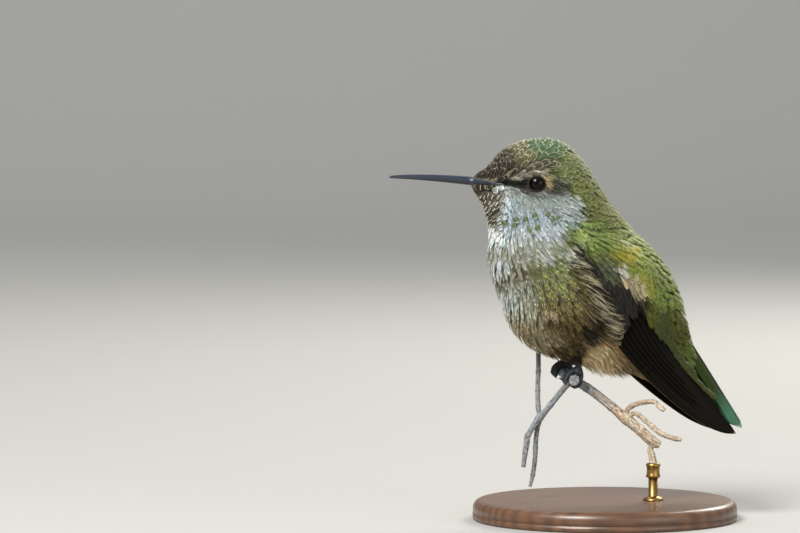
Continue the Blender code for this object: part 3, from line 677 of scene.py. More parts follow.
# The stretch of the front edge that loose flank feathers lap over, the one that they turn in
# towards, and the stretch of the hind edge that the back's feathers turn away from.
LAPPED_EDGE = WING_FRONT_EDGE[4:36]
DRAWN_EDGE = WING_FRONT_EDGE[4:34]
SHUNNED_EDGE = WING_HIND_EDGE[12:52]
WING_CLEARANCE = 0.12
MOST_LIFT = 1.8
# Stands for no lift at all, and the lowest lift that still counts.
NO_LIFT, LEAST_LIFT = -9.0, -5.0


def over_wings(points, normals, length, heights):
    """Lifts the walked steps of body feathers that pass over a folded wing on to its outer face."""
    time, across = np.meshgrid(np.linspace(-0.3, 7.5, 130), np.linspace(-1, 1, 44), indexing="ij")
    face = wing_surface(1.0)(time.ravel(), across.ravel())
    steps, count = points.shape[:2]
    flat = points.reshape(-1, 3)
    facing = np.abs(normals.reshape(-1, 3)[:, 1])
    need = np.full(len(flat), NO_LIFT)
    chosen = np.flatnonzero(inside_outline(flat, WING_LOOP) & (np.abs(flat[:, 1]) > 3.2) & (facing > 0.45))
    in_front = (flat[chosen, 0] < -1) | (outline_distance(flat[chosen], LAPPED_EDGE) < 4.5)
    chosen = chosen[in_front]
    for part in np.array_split(chosen, max(len(chosen) // 1500, 1)):
        far = ((flat[part][:, None, [0, 2]] - face[None][:, :, [0, 2]]) ** 2).sum(-1)
        top = face[far.argmin(1), 1]
        lift = (top - np.abs(flat[part, 1])) / np.maximum(facing[part], 0.45) + WING_CLEARANCE
        need[part] = np.where(lift < MOST_LIFT, lift, NO_LIFT)
    need = need.reshape(steps, count)
    raised = np.maximum(heights, need)
    for k in range(steps - 2, -1, -1):
        raised[k] = np.maximum(raised[k], raised[k + 1] - 1.1 * length * (MARCH[k + 1] - MARCH[k]))
    for k in range(1, steps):
        past_edge = (need[k - 1] > LEAST_LIFT) & (need[k] < LEAST_LIFT)
        raised[k] = np.where(past_edge, np.maximum(raised[k], raised[k - 1] * 0.8), raised[k])
    return raised


# ================================================================ feathers
# Where along its length a feather's end begins to round off.
ROUND_FROM = 0.68
VANE_THICKNESS = 0.05
# On its vane map, the place of a feather's root, and how wide and how long the feather is.
VANE_ROOT, VANE_SPAN = (0.5, 0.1), (0.4, 0.8)
# A usual feather's half width as a share of its length, which keeps its barbs evenly wide.
VANE_ASPECT = 0.3
# The triangles of a barb: two rings of three points and its tip.
BARB_FACES = np.array([(0, 4, 1), (0, 3, 4), (1, 5, 2), (1, 4, 5), (2, 3, 0), (2, 5, 3), (3, 6, 4), (4, 6, 5),
                       (5, 6, 3), (1, 2, 0)])


def feather_template(vane, width, barbs, start, fray, seed, spread=1.0, barb_wide=0.02):
    """One flat feather: a closed vane, and barbs that run from it past its edge.

    Points are (across in half widths, along in lengths, height in millimetres), and each has a tone."""
    chance = np.random.default_rng(seed)
    loose = fray > 0.1

    def outline(along):
        rise = 0.34 + 0.66 * np.sin(np.pi / 2 * np.minimum(along / ROUND_FROM, 1))
        return rise * np.sqrt(np.clip(1 - (np.maximum(along - ROUND_FROM, 0) / (1 - ROUND_FROM)) ** 2, 0, 1))

    rings = []
    for step in (0, 0.42, 0.72, 0.87, 0.96):
        half = outline(step) * width
        row = step * vane
        rings.append([(-half, row, 0), (-half * 0.5, row, VANE_THICKNESS * 0.8), (0, row, VANE_THICKNESS),
                      (half * 0.5, row, VANE_THICKNESS * 0.8), (half, row, 0),
                      (0, row, -VANE_THICKNESS * 0.4)])
    points = np.array(rings, float).reshape(-1, 3)
    points = np.concatenate([points, [(0, vane, 0)], [(0, 0, 0)]])
    count = len(rings)
    near = np.arange(6)
    after = (near + 1) % 6
    quads = grid_faces(count, 6)
    tip = np.stack([near + (count - 1) * 6, after + (count - 1) * 6, np.full(6, count * 6)], -1)
    root = np.stack([after, near, np.full(6, count * 6 + 1)], -1)
    all_points = [points]
    all_faces = [np.concatenate([quads[:, [0, 1, 2]], quads[:, [0, 2, 3]], tip, root])]
    tones = [np.ones(len(points))]
    total = len(points)
    for k in range(barbs):
        turn = (k + 0.5) / barbs * 2 - 1
        sweep = abs(turn)
        end_along = 0.34 + 0.66 * math.cos(sweep * math.pi / 2 * 0.97) ** 0.8
        end_along = mix(end_along, 0.72 + 0.26 * chance.uniform(0, 1), fray * 2.2 if loose else 0)
        end_across = math.copysign(float(outline(min(end_along, 0.97))), turn) if sweep > 0.02 else 0.0
        end_across = mix(end_across, turn * 0.9, 0.5 if loose else 0) * spread
        root_along = max(end_along - 0.22 - 0.26 * abs(end_across), 0.02)
        from_point = np.array([end_across * start, mix(root_along, end_along, start)])
        to_point = np.array([end_across, end_along]) * (1 + chance.uniform(-0.3, 1.0) * fray)
        to_point += chance.normal(0, 0.05 * fray + 0.01, 2)
        middle = mix(from_point, to_point, 0.55) + np.array([0.05 * math.copysign(1, turn), -0.012])
        run = (to_point - from_point) * np.array([VANE_ASPECT, 1.0])
        run /= np.linalg.norm(run)
        side = np.array([-run[1] / VANE_ASPECT, run[0]]) * barb_wide
        lift = chance.uniform(0.0, 0.06) + 0.25 * fray
        rings = []
        for place, wide, height in ((from_point, 0.7, 0.02), (middle, 1.0, 0.02 + lift * 0.4)):
            rings.append([(*(place + side * wide), height), (*(place - side * wide), height),
                          (*place, height + 0.05)])
        barb = np.array(rings, float).reshape(-1, 3)
        barb = np.concatenate([barb, [(*to_point, 0.03 + lift)]])
        all_points.append(barb)
        all_faces.append(BARB_FACES + total)
        tones.append(np.full(len(barb), math.exp(chance.normal(0, 0.24 if loose else 0.06))))
        total += len(barb)
    return np.concatenate(all_points), np.concatenate(all_faces), np.concatenate(tones)


# The steps of a walk along a feather, as shares of its length, and the step whose place gives its colour.
MARCH = np.array([0.0, 0.2, 0.42, 0.62, 0.8, 0.92, 1.0])
SHOWN_STEP = 4


def march(surface, u, v, heading, length, turned=1.0, bend=0.0):
    """Walks over a surface from (u, v), a feather's length at its heading, and keeps each step's frame.

    Heading 0 follows the surface's first direction, and it turns towards its second."""
    u, v = u.copy(), v.copy()
    places, alongs, normals = [], [], []
    for k in range(len(MARCH)):
        points, slope_u, slope_v, normal = sheet_frame(surface, u, v, turned)
        ahead = unit(slope_u)
        square = unit(slope_v - ahead * (slope_v * ahead).sum(-1, keepdims=True))
        angle = (heading + bend * MARCH[k])[..., None]
        along = ahead * np.cos(angle) + square * np.sin(angle)
        places.append(points)
        alongs.append(along)
        normals.append(normal)
        if k + 1 < len(MARCH):
            step = along * (length * (MARCH[k + 1] - MARCH[k]))[:, None]
            uu, uv, vv = (slope_u**2).sum(-1), (slope_u * slope_v).sum(-1), (slope_v**2).sum(-1)
            su, sv = (step * slope_u).sum(-1), (step * slope_v).sum(-1)
            area = np.maximum(uu * vv - uv * uv, 1e-9)
            u += np.clip((su * vv - sv * uv) / area, -0.6, 0.6)
            v += np.clip((sv * uu - su * uv) / area, -0.5, 0.5)
    return np.array(places), np.array(alongs), np.array(normals)


def grow(template, places, alongs, normals, heights, half_width, roll, curve):
    """Lays a template along every walked line: heights (steps, feathers) lift it off the surface."""
    flat = template[0]
    across, along, height = flat[:, 0], flat[:, 1], flat[:, 2]
    index = np.clip(np.searchsorted(MARCH, along, side="right") - 1, 0, len(MARCH) - 2)
    share = (along - MARCH[index]) / (MARCH[index + 1] - MARCH[index])
    share = np.minimum(share, 2.2)[:, None, None]

    def between(values):
        return values[index] * (1 - share) + values[index + 1] * share

    normal = unit(between(normals))
    run = unit(between(alongs))
    line = between(places) + normal * (between(heights[..., None]))
    side = np.cross(run, normal)
    wide = across[:, None] * half_width[None]
    drop = across[:, None] ** 2 * half_width[None] ** 2 * curve[None]
    tip = wide * roll[None] * np.clip(along, 0, 1)[:, None]
    points = line + side * wide[..., None]
    points = points + normal * (height[:, None] - drop + tip)[..., None]
    return points.transpose(1, 0, 2)


def place_roots(surface, u_range, v_range, candidates, spacing_of, seed, turned=1.0, turn_of=None):
    """Feather roots close-packed over a surface, from its start on.

    spacing_of gives the room that each needs along and across, and turn_of the way it heads."""
    chance = np.random.default_rng(seed)
    u = chance.uniform(*u_range, candidates * 3)
    v = chance.uniform(*v_range, candidates * 3)
    points, slope_u, slope_v, _ = sheet_frame(surface, u, v, turned)
    area = np.linalg.norm(np.cross(slope_u, slope_v), axis=-1)
    ahead = unit(slope_u)
    if turn_of is not None:
        angle = turn_of(points)[:, None]
        square = unit(slope_v - ahead * (slope_v * ahead).sum(-1, keepdims=True))
        ahead = ahead * np.cos(angle) + square * np.sin(angle)
    along, across = spacing_of(points, u, v)
    weight = area / (along * across)
    kept = chance.uniform(0, np.quantile(weight, 0.995), len(u)) < weight
    kept &= along > 0
    u, v, points, along, across = u[kept], v[kept], points[kept], along[kept], across[kept]
    ahead = ahead[kept]
    order = np.argsort(u + chance.normal(0, 0.02, len(u)))
    cell = float(max(along.max(), across.max()))
    keys = np.floor(points / cell).astype(int)
    cells, taken = {}, []
    near = [(a, b, c) for a in (-1, 0, 1) for b in (-1, 0, 1) for c in (-1, 0, 1)]
    rows = points.tolist()
    heads = ahead.tolist()
    for k in order.tolist():
        x, y, z = rows[k]
        hx, hy, hz = heads[k]
        key = keys[k]
        limit_along, limit_across = along[k] ** 2, across[k] ** 2
        clear = True
        for a, b, c in near:
            for j in cells.get((key[0] + a, key[1] + b, key[2] + c), ()):
                dx, dy, dz = rows[j][0] - x, rows[j][1] - y, rows[j][2] - z
                run = dx * hx + dy * hy + dz * hz
                rest = dx * dx + dy * dy + dz * dz - run * run
                if run * run / limit_along + rest / limit_across < 1:
                    clear = False
                    break
            if not clear:
                break
        if clear:
            cells.setdefault(tuple(key), []).append(k)
            taken.append(k)
    taken = np.array(taken)
    return u[taken], v[taken], points[taken]


# The width of each feather's patch on the bake map, and the bare strip round them all.
BAKE_PATCH = 0.003
BAKE_MARGIN = 0.004


def bake_map(templates, picks, u, v):
    """Each feather's small patch at its root's place on the unwrapped skin, filling the unit square."""
    low = np.array([u.min(), v.min()])
    reach = np.maximum(np.array([u.max(), v.max()]) - low, 1e-6)
    place = BAKE_MARGIN + (np.stack([u, v], -1) - low) / reach * (1 - 2 * BAKE_MARGIN)
    maps = []
    for template, pick in zip(templates, picks):
        flat = template[0][:, :2] * np.array([0.5, 1.0]) - np.array([0.0, 0.5])
        maps.append((place[pick][:, None] + flat[None] * BAKE_PATCH).reshape(-1, 2))
    return np.clip(np.concatenate(maps), 0, 1)


def feather_piece(name, material, soft, roots, walk, heights, half_width, roll, curve, colours, body=False):
    """One coat piece from walked feathers; those of the body keep clear of its eyes and gape."""
    points, faces, vane, layers, start = [], [], [], {key: [] for key in colours}, 0
    templates, picks = sort_feathers(half_width, soft)
    for template, pick in zip(templates, picks):
        if not len(pick):
            continue
        laid = grow(template, *[one[:, pick] for one in walk], heights[:, pick], half_width[pick], roll[pick],
                    curve[pick])
        if body:
            laid = clear_gape(laid)
        count, corners = laid.shape[0], laid.shape[1]
        points.append(laid.reshape(-1, 3))
        offsets = (np.arange(count) * corners + start)[:, None, None]
        faces.append((template[1][None] + offsets).reshape(-1, 3))
        flat = template[0][:, :2] * np.array(VANE_SPAN) + np.array(VANE_ROOT)
        vane.append(np.broadcast_to(flat, (count,) + flat.shape).reshape(-1, 2))
        for key, values in colours.items():
            layer = np.repeat(values[pick], corners, axis=0)
            layer[:, :3] *= np.tile(template[2], count)[:, None]
            layers[key].append(layer)
        start += count * corners
    points = np.concatenate(points)
    if body:
        points = round_eyes(points)
    maps = {"vane": np.concatenate(vane), "OFBake": bake_map(templates, picks, *roots)}
    attributes = {key: np.concatenate(values) for key, values in layers.items()}
    return make_piece(name, points, [np.concatenate(faces)], material, attributes, maps)


def round_eyes(points):
    """Keeps the feathers round each eye's opening, as its lids do."""
    flat = points[:, [0, 2]] - OPENING_MIDDLE
    far = np.linalg.norm(flat, axis=1)
    opening, swept = EYE_OPENING + 0.12, 0.5
    close = (far < opening + swept) & (np.abs(points[:, 1]) > EYE_FROM)
    goal = opening + swept * np.clip(far / (opening + swept), 0, 1) ** 2.5
    scale = np.where(close, goal / np.maximum(far, 1e-6), 1.0)
    moved = points.copy()
    moved[:, [0, 2]] = OPENING_MIDDLE + flat * scale[:, None]
    return moved


def bill_share(x):
    """How far back along the bill a place lies: 0 at its tip and 1 at the gape."""
    return (x - BILL_TIP_X) / (BILL_GAPE_X - BILL_TIP_X)


def gape_half(share):
    """Half the depth of the bill's edge where it shows beside the head; it closes at the gape."""
    open_half = mix(0.6, 0.2, np.clip((share - BILL_BARE) / (1 - BILL_BARE), 0, 1))
    return open_half * (1 - smooth_step(0.96, 1.03, share))


def clear_gape(laid):
    """Keeps each feather on its root's side of the gape, where the bill's edge shows between them."""
    share = bill_share(laid[..., 0])
    off = laid[..., 2] - bill_line(share)[1]
    side = np.sign(off.mean(1, keepdims=True))
    off = off * side
    half, swept = gape_half(share), 0.6
    band = half + swept
    goal = half + swept * np.clip(off / band, 0, 1) ** 2.5
    close = (off < band) & (off > -1.5) & (share > BILL_BARE - 0.06)
    laid[..., 2] += side * close * (1 - smooth_step(0.97, 1.03, share)) * (goal - off)
    return laid


def combed(points):
    """How far up the feathers are turned at each point."""
    turn = np.zeros(len(points))
    for x, z, reach, angle in COMBED:
        far = ((points[:, 0] - x) ** 2 + (points[:, 2] - z) ** 2) / reach**2
        one = angle * np.exp(-(far**1.5))
        turn = np.where(np.abs(one) > np.abs(turn), one, turn)
    return turn * smooth_step(0.4, 2.6, np.abs(points[:, 1]))


def spot_feathers(walk):
    """The feathers whose outer ends lie nearest to the throat's spots, on both sides."""
    x, y, z = walk[0][SHOWN_STEP].T
    other_side = 9.0
    return np.array([(np.hypot(x - spot_x, z - spot_z) + other_side * (y * side < 1)).argmin()
                     for spot_x, spot_z in SPOTS for side in SIDES.values()])


def feather_finish(name, roughness, ribs, beside, dark):
    """Feather paint: a disc and its fringe on each vane, fine ribs, and a dark shaft and root."""
    finish = Finish(name, Specular_IOR_Level=0.22, Sheen_Weight=0.04, Sheen_Roughness=0.6)
    disc = finish.attribute("disc")
    fringe = finish.attribute("fringe")
    split = finish.vane()
    across = ((split.out("X") - VANE_ROOT[0]) / VANE_SPAN[0]).size()
    along = (split.out("Y") - VANE_ROOT[1]) / VANE_SPAN[1]
    beyond = ((along - ROUND_FROM) / (1 - ROUND_FROM)).at_least(0.0)
    far = (across * across * beside + beyond * beyond) ** 0.5
    ragged = finish.noise(1400.0, 2.0)
    edge = 1.0 - fringe.out("Alpha")
    share = (far + (ragged - 0.5) * 0.16 - edge + 0.1) / 0.2
    share = share.step(0.0, 1.0)
    colour = finish.blend(share, disc.out("Color"), fringe.out("Color"))
    rib = ((along - across * 0.33) * (ribs * 6.28)).sine()
    shaft = across.step(0.09, 0.03) * along.step(0.95, 0.7)
    colour = finish.blend((rib * 0.5 + 0.5) * 0.22, colour, (0.0, 0.0, 0.0))
    colour = finish.blend(shaft * 0.3, colour, (0.02, 0.016, 0.01))
    base = along.step(0.42, 0.1)
    colour = finish.blend(base * dark, colour, finish.blend(0.72, fringe.out("Color"), (0.0, 0.0, 0.0)))
    shine = disc.out("Alpha") * (1.0 - share) * (1.0 - base)
    normal = finish.bump(rib * 0.5 - shaft, 0.00002, 0.5)
    return finish.wear(colour, roughness - shine * 0.22, Metallic=shine, Normal=normal)


def skin_finish():
    finish = Finish("bird_skin", Specular_IOR_Level=0.3)
    tint = finish.attribute("tint")
    grain = finish.noise(1600.0, 4.0)
    colour = finish.blend(grain * 0.3, tint.out("Color"), paint(40, 36, 30))
    return finish.wear(colour, 0.7 + grain * 0.2, (grain, 0.00008, 0.6))


def feather_values(values, share, chance):
    """The colour layers of feathers from their plumage values, each a little unlike its neighbours.

    Some dusky feathers are plain, and those over the wing's edge are either pale or black."""
    count = len(values)
    disc, fringe = values[:, DISC].copy(), values[:, FRINGE].copy()
    tone = np.exp(chance.normal(0, 0.10, (count, 1)))
    hue = np.exp(chance.normal(0, 0.035, (count, 3)))
    disc = disc * tone * hue
    fringe = fringe * np.exp(chance.normal(0, 0.05, (count, 1)))
    main = share.argmax(1)
    toss = chance.uniform(0, 1, count)
    plain = (main == KIND_NAMES.index("dusky")) & (toss > 0.6)
    disc[plain] = fringe[plain] * 0.82
    hairs = main == KIND_NAMES.index("flank_dark")
    pale, dark = hairs & (toss > 0.3), hairs & (toss <= 0.3)
    disc[pale] = fringe[pale]
    fringe[dark] = disc[dark] * 1.4
    return {
        "disc": np.concatenate([np.clip(disc, 0, 0.9), values[:, [SHINE]]], 1),
        "fringe": np.concatenate([np.clip(fringe, 0, 0.95), values[:, [RIM]]], 1),
    }


FIRM = [feather_template(0.93, 0.94, 13, 0.72, 0.07, 11), feather_template(0.9, 0.92, 13, 0.72, 0.1, 12),
        feather_template(0.94, 0.9, 12, 0.74, 0.08, 13)]
HALF_LOOSE = [feather_template(0.8, 0.72, 18, 0.4, 0.12, 41, 0.95, 0.014),
              feather_template(0.76, 0.68, 18, 0.36, 0.16, 42, 0.95, 0.014)]
LOOSE = [feather_template(0.5, 0.42, 24, 0.1, 0.2, seed, 0.8, 0.012) for seed in (21, 22, 23, 24)]
SMALL = [feather_template(0.95, 0.9, 7, 0.6, 0.06, 31, 1.0, 0.024),
         feather_template(0.93, 0.92, 7, 0.6, 0.09, 32, 1.0, 0.024)]
SMALL_LOOSE = [feather_template(0.55, 0.5, 12, 0.15, 0.2, seed, 0.8, 0.018) for seed in (33, 34)]
GROUPS = [FIRM, HALF_LOOSE, LOOSE, SMALL, SMALL_LOOSE]
SMALL_UNDER = 0.56


def sort_feathers(half_width, soft):
    """Which template each feather takes: firm, half loose or loose, and smaller ones where it is narrow."""
    small = half_width < SMALL_UNDER
    groups = [~small & (soft < 0.35), ~small & (soft >= 0.35) & (soft < 0.82), ~small & (soft >= 0.82),
              small & (soft < 0.45), small & (soft >= 0.45)]
    picks = []
    for group, templates in zip(groups, GROUPS):
        member = np.flatnonzero(group)
        picks += [member[k::len(templates)] for k in range(len(templates))]
    return [t for templates in GROUPS for t in templates], picks


# Each coat piece: its kinds of feather, its record slot and what feather_finish takes.
TRACTS = {
    "crown": (("forehead", "crown_gold", "crown_teal", "crown_brown", "hind_crown"), "crown_feathers",
              0.55, 16, 0.68, 0.6),
    "face": (("brow", "lore", "ear", "eye_spot", "cheek"), "crown_feathers", 0.7, 12, 0.68, 0.4),
    "throat": (("chin", "throat", "white_throat"), "breast_feathers", 0.7, 14, 0.2, 0.5),
    "nape": (("nape", "mantle", "bright"), "nape_feathers", 0.55, 20, 0.68, 0.55),
    "rump": (("back", "back_gold", "rump", "uppertail"), "nape_feathers", 0.55, 20, 0.68, 0.6),
    "breast": (("white_breast", "grey_breast", "dusky"), "breast_feathers", 0.75, 18, 0.68, 0.28),
    "flank": (("flank_green", "flank_gold", "flank_dark", "covert_white"), "breast_feathers",
              0.7, 18, 0.6, 0.5),
    # The belly piece also carries the painted shade under the wing.
    "belly": (("belly", "belly_brown", "dark_patch"), "vent_feathers", 0.75, 18, 0.68, 0.42),
    "vent": (("vent", "undertail"), "vent_feathers", 0.75, 18, 0.68, 0.42),
}


def lie(points):
    """How far feathers turn from the body's own run: up on the head and in towards the wings."""
    height = points[:, 2]
    to_wing = outline_distance(points, DRAWN_EDGE)
    near_wing = np.exp(-((to_wing / 3.0) ** 2)) * smooth_step(58, 53, height) * smooth_step(34, 38, height)
    from_wing = outline_distance(points, SHUNNED_EDGE)
    behind = np.exp(-((from_wing / 1.8) ** 2)) * (np.abs(points[:, 1]) > 3)
    inward = mix(0.4, 1.0, smooth_step(50, 38, height))
    return -np.sign(points[:, 1]) * (inward * near_wing + combed(points) - 0.3 * behind)


# The loose hairs along the wings' front edges: half width, length, softness, stand and lap.
EDGE_HAIR = (0.22, 5.0, 1.0, 0.16, 0.22)


def coat_sizes(points):
    """The values of the feathers rooted at each point: fine loose hairs along the wings' front edges."""
    sizes = plumage(points, ZONES)[0]
    edge = (outline_distance(points, LAPPED_EDGE) < 2.2) & (points[:, 2] < 54)
    sizes[edge, HALF_WIDTH:] = EDGE_HAIR
    return sizes


def body_spacing(density):
    def spacing(points, u, v):
        values = coat_sizes(points)
        along = values[:, LENGTH] * values[:, LAP] / density
        across = values[:, HALF_WIDTH] * mix(1.45, 1.15, values[:, SOFT]) / density
        hidden = inside_outline(points, WING_LOOP) & (outline_distance(points, WING_LOOP) > 1.3)
        eye = np.linalg.norm(points[:, [0, 2]] - OPENING_MIDDLE, axis=1) < EYE_OPENING
        eye &= np.abs(points[:, 1]) > EYE_FROM
        reach = bill_share(points[:, 0])
        gape = (reach < 1.0) & (np.abs(points[:, 2] - bill_line(reach)[1]) < gape_half(reach) + 0.1)
        along[hidden | eye | gape] = -1
        across[hidden | eye] = 0.5
        return along, across

    return spacing


def grow_body_coat(density):
    """Roots, walks and paints every body feather, and makes one piece for each tract."""
    chance = np.random.default_rng(7)
    u, v, points = place_roots(body_surface, (0.03, BODY_END - 0.1), (-math.pi, math.pi), 110000,
                               body_spacing(density), 5, 1.0, lie)
    count = len(u)
    sizes = coat_sizes(points)
    half_width = sizes[:, HALF_WIDTH] * chance.uniform(0.92, 1.1, count)
    length = sizes[:, LENGTH] * chance.uniform(0.9, 1.1, count)
    soft = sizes[:, SOFT]
    heading = lie(points) + chance.normal(0, 0.05 + 0.07 * soft, count)
    walk = march(body_surface, u, v, heading, length, 1.0, -np.sign(points[:, 1]) * 0.1)
    depth = coat_depth(u)[None]
    drift = chance.normal(0, 1, (count, 3)) * half_width[:, None] * 0.4
    values, share = plumage(walk[0][SHOWN_STEP] + drift, ZONES)
    step = MARCH[:, None]
    stand = sizes[:, STAND] * chance.uniform(0.3, 1.5, count)
    heights = -depth * (1 - step) ** mix(2.0, 1.35, soft)[None] + stand[None] * step**2
    heights = heights + chance.normal(0, 0.012, count)[None]
    heights = over_wings(walk[0], walk[2], length, heights)
    roll = chance.normal(0, 0.10, count) * np.minimum(0.5 / half_width, 1) ** 1.5
    spots = spot_feathers(walk)
    half_width[spots], soft[spots] = SPOT_HALF_WIDTH, 0.2
    for layer in walk:
        layer[:, spots] = mix(layer[2:3, spots], layer[-1:, spots], step[..., None])
    heights[:, spots] = 0.16 + 0.08 * step
    curve = mix(0.2, 0.06, soft) / half_width
    colours = feather_values(values, share, chance)
    colours["disc"][spots] = [*paint(*SPOT_PAINT), 0.06]
    colours["fringe"][spots, 3] = 0.42
    main = share.argmax(1)
    for tract, (kinds, slot, *finish) in TRACTS.items():
        index = np.flatnonzero(np.isin(main, [KIND_NAMES.index(k) for k in kinds]))
        chosen = {key: value[index] for key, value in colours.items()}
        piece = feather_piece(tract + "_coat", feather_finish(tract + "_feathers", *finish), soft[index],
                              (v[index], u[index]), [w[:, index] for w in walk], heights[:, index],
                              half_width[index], roll[index], curve[index], chosen, True)
        finish_piece(piece, slot)


def undercoat(points, zones, shade):
    """The markings of what lies under the feathers: their own colours, darkened as painted shade for where it
    shows between them.
    """
    values = plumage(points, zones)[0]
    return np.concatenate([(values[:, DISC] + values[:, FRINGE]) * shade, np.ones((len(points), 1))], 1)


def build_skin():
    """One closed skin from bill to tail under the coat, with the lids round both eyes."""
    rings, sides = 190, 112
    time = np.linspace(0, BODY_END, rings)
    angle = np.linspace(-math.pi, math.pi, sides + 1)
    grid_time, grid_angle = (grid.ravel() for grid in np.meshgrid(time, angle[:-1], indexing="ij"))
    points = skin_surface(grid_time, grid_angle)
    # The skin takes the coat's colours at 0.36 of their strength: painted shade where it shows between the
    # feathers.
    tint = undercoat(points, ZONES, 0.36)
    unwrap = np.stack([(grid_angle + math.pi) / (2 * math.pi) * 0.9, grid_time / BODY_END * 0.97], -1)
    parts = [closed_rings(points.reshape(rings, sides, 3), True)]
    tints = [tint, tint[:1], tint[-1:]]
    unwraps = [unwrap, [[0.45, 0.0]], [[0.45, 0.985]]]
    for number, side in enumerate(SIDES.values()):
        lid = eyelid(side)
        parts.append(lid)
        count = len(lid[0])
        tints.append(np.tile([*paint(34, 31, 26), 1.0], (count, 1)))
        column = 0.93 + 0.05 * np.linspace(0, 1, count)
        row = 0.1 + 0.3 * number + 0.2 * (np.arange(count) % LID_SIDES) / LID_SIDES
        unwraps.append(np.stack([column, row], -1))
    points, faces = joined(parts)
    unwrap = np.concatenate(unwraps)
    piece = make_piece("skin", points, faces, skin_finish(), {"tint": np.concatenate(tints)},
                       {"vane": unwrap, "OFBake": unwrap})
    finish_piece(piece, "breast_feathers", "head", "neck", "trunk", "rump")


# How finely a lid is made: its steps round the eye and round its own section.
LID_STEPS, LID_SIDES = 56, 12


def eyelid(side):
    """The upper and lower lid as one soft ring round the eye's opening."""
    angles = np.linspace(0, 2 * np.pi, LID_STEPS, endpoint=False)
    reach = EYE_OPENING * (1 + 0.05 * np.cos(angles * 2))
    x = EYE_PLACE[0] - 0.25 + reach * np.cos(angles) * 1.04
    z = EYE_PLACE[2] + reach * np.sin(angles) * 0.96
    out = 7.28 - 0.035 * (x - EYE_PLACE[0]) - 0.05 * np.abs(np.sin(angles))
    path = np.stack([x, side * out, z], -1)
    section = np.linspace(0, 2 * np.pi, LID_SIDES, endpoint=False)
    outward = np.stack([np.cos(angles), np.zeros(LID_STEPS), np.sin(angles)], -1)
    thick = 0.19 + 0.03 * np.cos(angles * 9)
    rings = path[:, None] + outward[:, None] * (np.cos(section)[None, :, None] * thick[:, None, None])
    rings = rings + np.array([0, side, 0]) * (np.sin(section)[None, :, None] * 0.2)
    faces = []
    for k in range(LID_STEPS):
        here, ahead = k * LID_SIDES, (k + 1) % LID_STEPS * LID_SIDES
        for j in range(LID_SIDES):
            after = (j + 1) % LID_SIDES
            face = (here + j, here + after, ahead + after, ahead + j)
            faces.append(face if side > 0 else face[::-1])
    return rings.reshape(-1, 3), np.array(faces)


# ================================================================ wings and tail
def blade_finish(name, ribs, roughness, painted_highlight=None):
    """Flight-feather paint: a vane with fine slanting barbs, a shaft, and a pale edge on one side and tip;
    the last colour, where given, is a painted teal highlight towards the tip.
    """
    finish = Finish(name, Specular_IOR_Level=0.1)
    tint = finish.attribute("disc")
    edge = finish.attribute("fringe")
    split = finish.vane()
    across = (split.out("X") - 0.5) / 0.5
    along = split.out("Y")
    reach = across.size()
    rib = ((along - reach * 0.05) * (ribs * 6.28)).sine()
    patchy = finish.noise(500.0, 3.0)
    rim = (across * edge.out("Alpha") + (patchy - 0.5) * 0.06).step(0.88, 0.97)
    rim = rim.at_least((along + (patchy - 0.5) * 0.02).step(0.965, 0.99) * 0.8)
    shaft = reach.step(0.07, 0.03)
    colour = tint.out("Color")
    if painted_highlight is not None:
        # A painted teal highlight over the outer part of the vane.
        colour = finish.blend(along.step(0.62, 0.88) * 0.8, colour, painted_highlight)
    colour = finish.blend(rim, colour, edge.out("Color"))
    colour = finish.blend((rib * 0.5 + 0.5) * 0.25, colour, (0.0, 0.0, 0.0))
    colour = finish.blend(shaft * 0.4, colour, paint(44, 35, 26))
    metal = tint.out("Alpha") * (1.0 - rim)
    normal = finish.bump(rib * 0.4 + shaft * 0.6, 0.00003, 0.5)
    return finish.wear(colour, roughness + patchy * 0.12, Metallic=metal, Normal=normal)


def blade(surface, lead, trail, start, end, height, tip, rows=42, thick=0.1, turned=1.0):
    """One long closed feather on a surface, between a leading and a trailing edge line."""
    share = np.concatenate([np.linspace(0, 1 - tip, rows - 12, endpoint=False),
                            1 - tip * np.cos(np.linspace(0, np.pi / 2, 12))])
    time = mix(start, end, share)
    low, high = lead(share), trail(share)
    close = np.sqrt(np.clip(1 - (np.maximum(share - (1 - tip), 0) / tip) ** 2, 0, 1))
    middle = mix(low, high, 0.36)
    low = mix(middle, low, np.maximum(close, 0.03))
    high = mix(middle, high, np.maximum(close, 0.03))
    columns = np.array([-1, -0.72, -0.4, 0.0, 0.4, 0.72, 1.0])
    middle, low, high = middle[:, None], low[:, None], high[:, None]
    position = np.where(columns < 0, mix(middle, low, -columns), mix(middle, high, columns))
    time_grid = np.broadcast_to(time[:, None], position.shape)
    points, _, _, normals = sheet_frame(surface, time_grid.ravel(), position.ravel(), turned)
    shape = position.shape + (3,)
    points, normals = points.reshape(shape), normals.reshape(shape)
    crown, shaft = 0.03 * (1 - np.abs(columns)), 0.03 * np.exp(-(columns / 0.12) ** 2)
    rise = (height + crown + shaft)[None, :, None]
    half = (thick * 0.5 * (1 - 0.8 * np.abs(columns)))[None, :, None]
    upper, lower = points + normals * (rise + half), points + normals * (rise - half)
    ring = np.concatenate([upper, lower[:, ::-1][:, 1:-1]], 1)
    flat, quads, ends = closed_rings(ring, turned < 0)
    lane = np.concatenate([columns, columns[::-1][1:-1]])
    across, along = np.broadcast_arrays(0.5 + 0.5 * lane[None], share[:, None])
    vane = np.stack([across.ravel(), along.ravel()], -1)
    return flat, quads, ends, np.concatenate([vane, [[0.5, 0.0]], [[0.5, 1.0]]])


# How much of its strip of the bake map a blade fills.
STRIP_SHARE = 0.9


